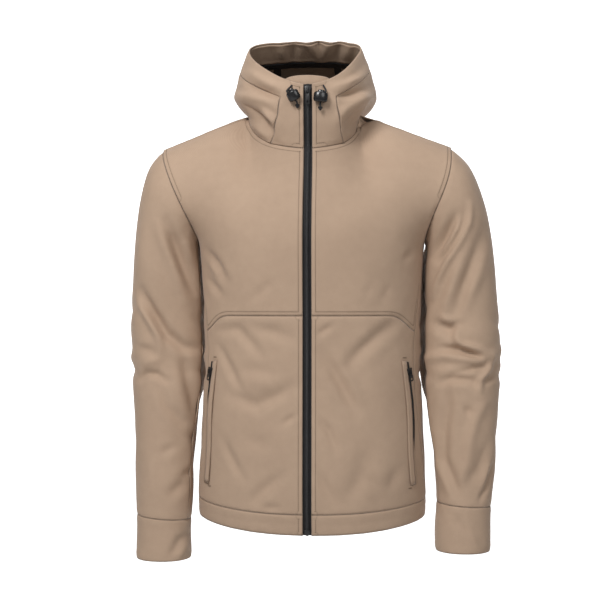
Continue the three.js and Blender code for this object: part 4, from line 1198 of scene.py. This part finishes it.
# Stops of each hood cord in metres: out of the hood, into the lock's top, out of its foot, to the knot
CORD_STOPS = {
    "left": [(-0.0262, -0.1122, 0.0478), (-0.0284, -0.1152, 0.0446), (-0.0310, -0.1182, 0.0415),
             (-0.0332, -0.1212, 0.0382), (-0.0333, -0.1243, 0.0350), (-0.0262, -0.1243, 0.0286),
             (-0.0191, -0.1226, 0.0208), (-0.0172, -0.1216, 0.0177), (-0.0166, -0.1192, 0.0130)],
    "right": [(0.0249, -0.1124, 0.0474), (0.0265, -0.1151, 0.0442), (0.0281, -0.1172, 0.0411),
              (0.0294, -0.1196, 0.0381), (0.0291, -0.1214, 0.0350), (0.0248, -0.1226, 0.0262),
              (0.0207, -0.1229, 0.0171), (0.0206, -0.1223, 0.0133), (0.0206, -0.1209, 0.0085)],
}
CORD_POINTS = 24
# A knot's size in metres, and its turns' radius as a share of the cord's thickness
KNOT_SIZE, KNOT_RADIUS = 0.003, 0.34


def knot_route(place, size):
    """The loop of a small tight knot round a place."""
    turns = np.linspace(0, 2 * math.pi, 48, endpoint=False)
    loop = np.stack([np.sin(turns) + 2 * np.sin(2 * turns), -np.sin(3 * turns) * 0.9,
                     np.cos(turns) - 2 * np.cos(2 * turns)], axis=1)
    return loop * size / 3 + np.array(place)


class JACKET_OT_cords(Operator):
    """Lay the two ends of the hood cord through their locks"""
    bl_idname = "jacket.cords"
    bl_label = "Hood cord"

    def execute(self, context):
        thickness = context.scene.jacket_trims.cord_thickness
        for side, stops in CORD_STOPS.items():
            route = smooth_route(stops, CORD_POINTS)
            cord = cord_tube("hood_cord_" + side, route, thickness / 2)
            loop = knot_route(route[-1], KNOT_SIZE)
            knot = cord_tube("cord_knot_" + side, loop, thickness * KNOT_RADIUS, around=8, closed=True)
            for piece in (cord, knot):
                piece.data.materials.append(material(context, "braided cord", braid_looks))
            declare(cord, "jacket", "cord", "cord_" + side, "cord_end_" + side)
            declare(knot, "jacket", "cord")
        return {"FINISHED"}


# The coil in metres: its plain ends, half the way between its two rows, and each turn's bar
COIL_END = 0.003
COIL_ROW = 0.00105
TURN_LENGTH, TURN_DRAW, TURN_DROP = 0.0019, 0.0005, 0.0001
TURN_SINK = 0.00005


def coil_frames(pitch):
    """Frames of the coil's turns, two rows that alternate up the zip."""
    skin = skin_of(frame["nodes"]["zip_coil"].data)
    low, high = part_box("zip_coil")
    frames = []
    for k in range(int((high[2] - low[2] - 2 * COIL_END) / pitch)):
        height = low[2] + COIL_END + k * pitch
        hit, normal, _, _ = skin.ray_cast(Vector((0, -1, height)), Vector((0, 1, 0)))
        if hit is None:
            continue
        for sign in SIDES.values():
            place = hit + Vector((sign * COIL_ROW, 0, sign * pitch * 0.25))
            frames.append(frame_of(place, Vector((-sign, 0, 0)), normal, -TURN_SINK))
    return frames


class JACKET_OT_front_zip(Operator):
    """Dress the front zip: tapes, coil, slider, pull tab and box"""
    bl_idname = "jacket.front_zip"
    bl_label = "Front zip"

    def execute(self, context):
        for side in SIDES:
            soften_tape(context, "zip_tape_" + side, "tape", 1)
        soften_tape(context, "zip_coil", "coil", 1)
        pitch = context.scene.jacket_trims.coil_pitch
        turn = model_bar("turn", pitch * 0.36, TURN_LENGTH, TURN_DRAW, TURN_DROP,
                         {-1: (0.5, 0.4), 1: (1.25, 1)})
        coil = repeat_mesh("zip_coil_teeth", turn, coil_frames(pitch))
        coil.data.materials.append(material(context, "coil nylon", moulded_looks, 0.34, 0.0))
        declare(coil, "jacket", "coil")
        enamel = enamel_material(context)
        round_edges("zip_slider", "jacket", enamel, "zip_metal")
        round_edges("zip_pull", "zip_pull", enamel, "zip_metal", 0.00025)
        round_edges("zip_box", "jacket", enamel, "zip_metal", 0.0003)
        return {"FINISHED"}


def give_material(node_name, made):
    """Puts a material in every slot of a CAD node."""
    piece = frame["nodes"][node_name]
    if not piece.material_slots:
        piece.data.materials.append(made)
    for slot in piece.material_slots:
        slot.material = made


class JACKET_OT_pockets(Operator):
    """Dress the pocket zips: lips, tapes, sliders and pull tabs"""
    bl_idname = "jacket.pockets"
    bl_label = "Pockets"

    def execute(self, context):
        enamel = enamel_material(context)
        shell = [shell_material(context)] * 3
        for side in SIDES:
            give_material("pocket_zip_" + side,
                          material(context, "pocket opening " + side, pocket_looks, side))
            sew_cloth(context, "pocket_welt_" + side, BODY_MIDDLE, 2, shell, 0, wall=THIN_WALL, dip=0)
            round_edges("pocket_slider_" + side, "jacket", enamel, "zip_metal", 0.0003)
            round_edges("pocket_pull_" + side, "pocket_pull_" + side, enamel, "zip_metal", 0.0002)
        return {"FINISHED"}


class JACKET_OT_cord_locks(Operator):
    """Mould the cord locks and their sprung buttons"""
    bl_idname = "jacket.cord_locks"
    bl_label = "Cord locks"

    def execute(self, context):
        gloss = material(context, "glossy moulding", moulded_looks, 0.14, 0.000004)
        for side in SIDES:
            round_edges("cord_lock_" + side, "jacket", gloss, "lock_plastic", 0.0009, 4)
            round_edges("cord_button_" + side, "cord_button_" + side, gloss, "lock_plastic", 0.0004)
        return {"FINISHED"}


# ---------------------------------------------------------------- stage

# The camera's sensor and lens in millimetres, where it aims, across and up, and where the lights aim
SENSOR_WIDTH, LENS = 36.0, 69.4
AIM_ACROSS, AIM_HEIGHT = -0.0208, -0.303
LIGHTS_AIM = (0, 0, -0.3)
# The floor's breadth and the height of the backdrop at its far edge
FLOOR_SIZE, BACKDROP_HEIGHT = 16, 7


def aim(thing, target):
    way = Vector(target) - thing.location
    thing.rotation_euler = way.to_track_quat("-Z", "Y").to_euler()


def place_on_stage(context, name, data, place, target):
    made = bpy.data.objects.new(name, data)
    context.scene.collection.objects.link(made)
    made.location = place
    aim(made, target)
    return made


def lay_floor(context, height, paper):
    """A wide floor whose far edge is drawn up into a backdrop."""
    bpy.ops.object.select_all(action="DESELECT")
    bpy.ops.mesh.primitive_plane_add(size=FLOOR_SIZE, location=(0, 0, height))
    sweep = context.active_object
    sweep.name = "floor"
    draw_out(sweep, "EDGE", lambda edge: all(v.co.y > FLOOR_SIZE / 2 - 0.1 for v in edge.verts),
             (0, 0, BACKDROP_HEIGHT))
    bpy.ops.object.transform_apply(location=True, rotation=True, scale=True)
    sweep.data.materials.append(paper)


class JACKET_OT_stage(Operator):
    """Set up the camera, the lights, the pale floor and the backdrop"""
    bl_idname = "jacket.stage"
    bl_label = "Stage"

    def execute(self, context):
        stage = context.scene.jacket_stage
        across = Vector((math.cos(stage.camera_turn), math.sin(stage.camera_turn), 0))
        away = Vector((across.y, -across.x, 0))
        target = across * AIM_ACROSS + Vector((0, 0, AIM_HEIGHT))
        lens = bpy.data.cameras.new("camera")
        lens.sensor_width, lens.lens = SENSOR_WIDTH, LENS
        context.scene.camera = place_on_stage(
            context, "camera", lens, target + away * stage.camera_distance, target)
        for name, place, power, size in (
                ("key", (-0.9, -2.05, 1.5), stage.key_power, 1.0),
                ("fill", (1.5, -2.1, 1.0), stage.fill_power, 1.4),
                ("top", (0.1, 0.1, 1.9), stage.fill_power * 0.5, 1.0)):
            light = bpy.data.lights.new(name, "AREA")
            light.energy, light.size = power, size
            place_on_stage(context, name, light, place, LIGHTS_AIM)
        world = bpy.data.worlds.new("surround")
        world.use_nodes = True
        background = world.node_tree.nodes["Background"].inputs
        background["Color"].default_value = (1, 1, 1, 1)
        background["Strength"].default_value = stage.surround
        context.scene.world = world
        context.scene.view_settings.view_transform = "Standard"
        lay_floor(context, stage.floor_height, material(context, "pale paper", paper_looks))
        return {"FINISHED"}


# ---------------------------------------------------------------- panel and making

OPERATORS = (JACKET_OT_stage, JACKET_OT_cords, JACKET_OT_back, JACKET_OT_fronts, JACKET_OT_sleeves,
             JACKET_OT_hem, JACKET_OT_hood, JACKET_OT_pockets, JACKET_OT_topstitching, JACKET_OT_front_zip,
             JACKET_OT_cord_locks)
GROUPS = (("jacket_cloth", JacketCloth), ("jacket_stitching", JacketStitching),
          ("jacket_trims", JacketTrims), ("jacket_stage", JacketStage))


class JACKET_PT_panel(Panel):
    """The jacket's pieces, sizes and colours"""
    bl_label = "Jacket"
    bl_space_type = "VIEW_3D"
    bl_region_type = "UI"
    bl_category = "Jacket"

    def draw(self, context):
        layout = self.layout
        for name, group in GROUPS:
            box = layout.box()
            for item in group.__annotations__:
                box.prop(getattr(context.scene, name), item)
        for operator in OPERATORS:
            layout.operator(operator.bl_idname)


def register():
    for name, group in GROUPS:
        bpy.utils.register_class(group)
        setattr(bpy.types.Scene, name, PointerProperty(type=group))
    for operator in OPERATORS:
        bpy.utils.register_class(operator)
    bpy.utils.register_class(JACKET_PT_panel)


def unregister():
    bpy.utils.unregister_class(JACKET_PT_panel)
    for operator in reversed(OPERATORS):
        bpy.utils.unregister_class(operator)
    for name, group in reversed(GROUPS):
        delattr(bpy.types.Scene, name)
        bpy.utils.unregister_class(group)


def main():
    register()
    bpy.ops.jacket.stage()
    bpy.ops.jacket.cords()
    bpy.ops.jacket.back()
    bpy.ops.jacket.fronts()
    bpy.ops.jacket.sleeves()
    bpy.ops.jacket.hem()
    bpy.ops.jacket.hood()
    bpy.ops.jacket.pockets()
    bpy.ops.jacket.topstitching()
    bpy.ops.jacket.front_zip()
    bpy.ops.jacket.cord_locks()


if __name__ == "__main__":
    main()
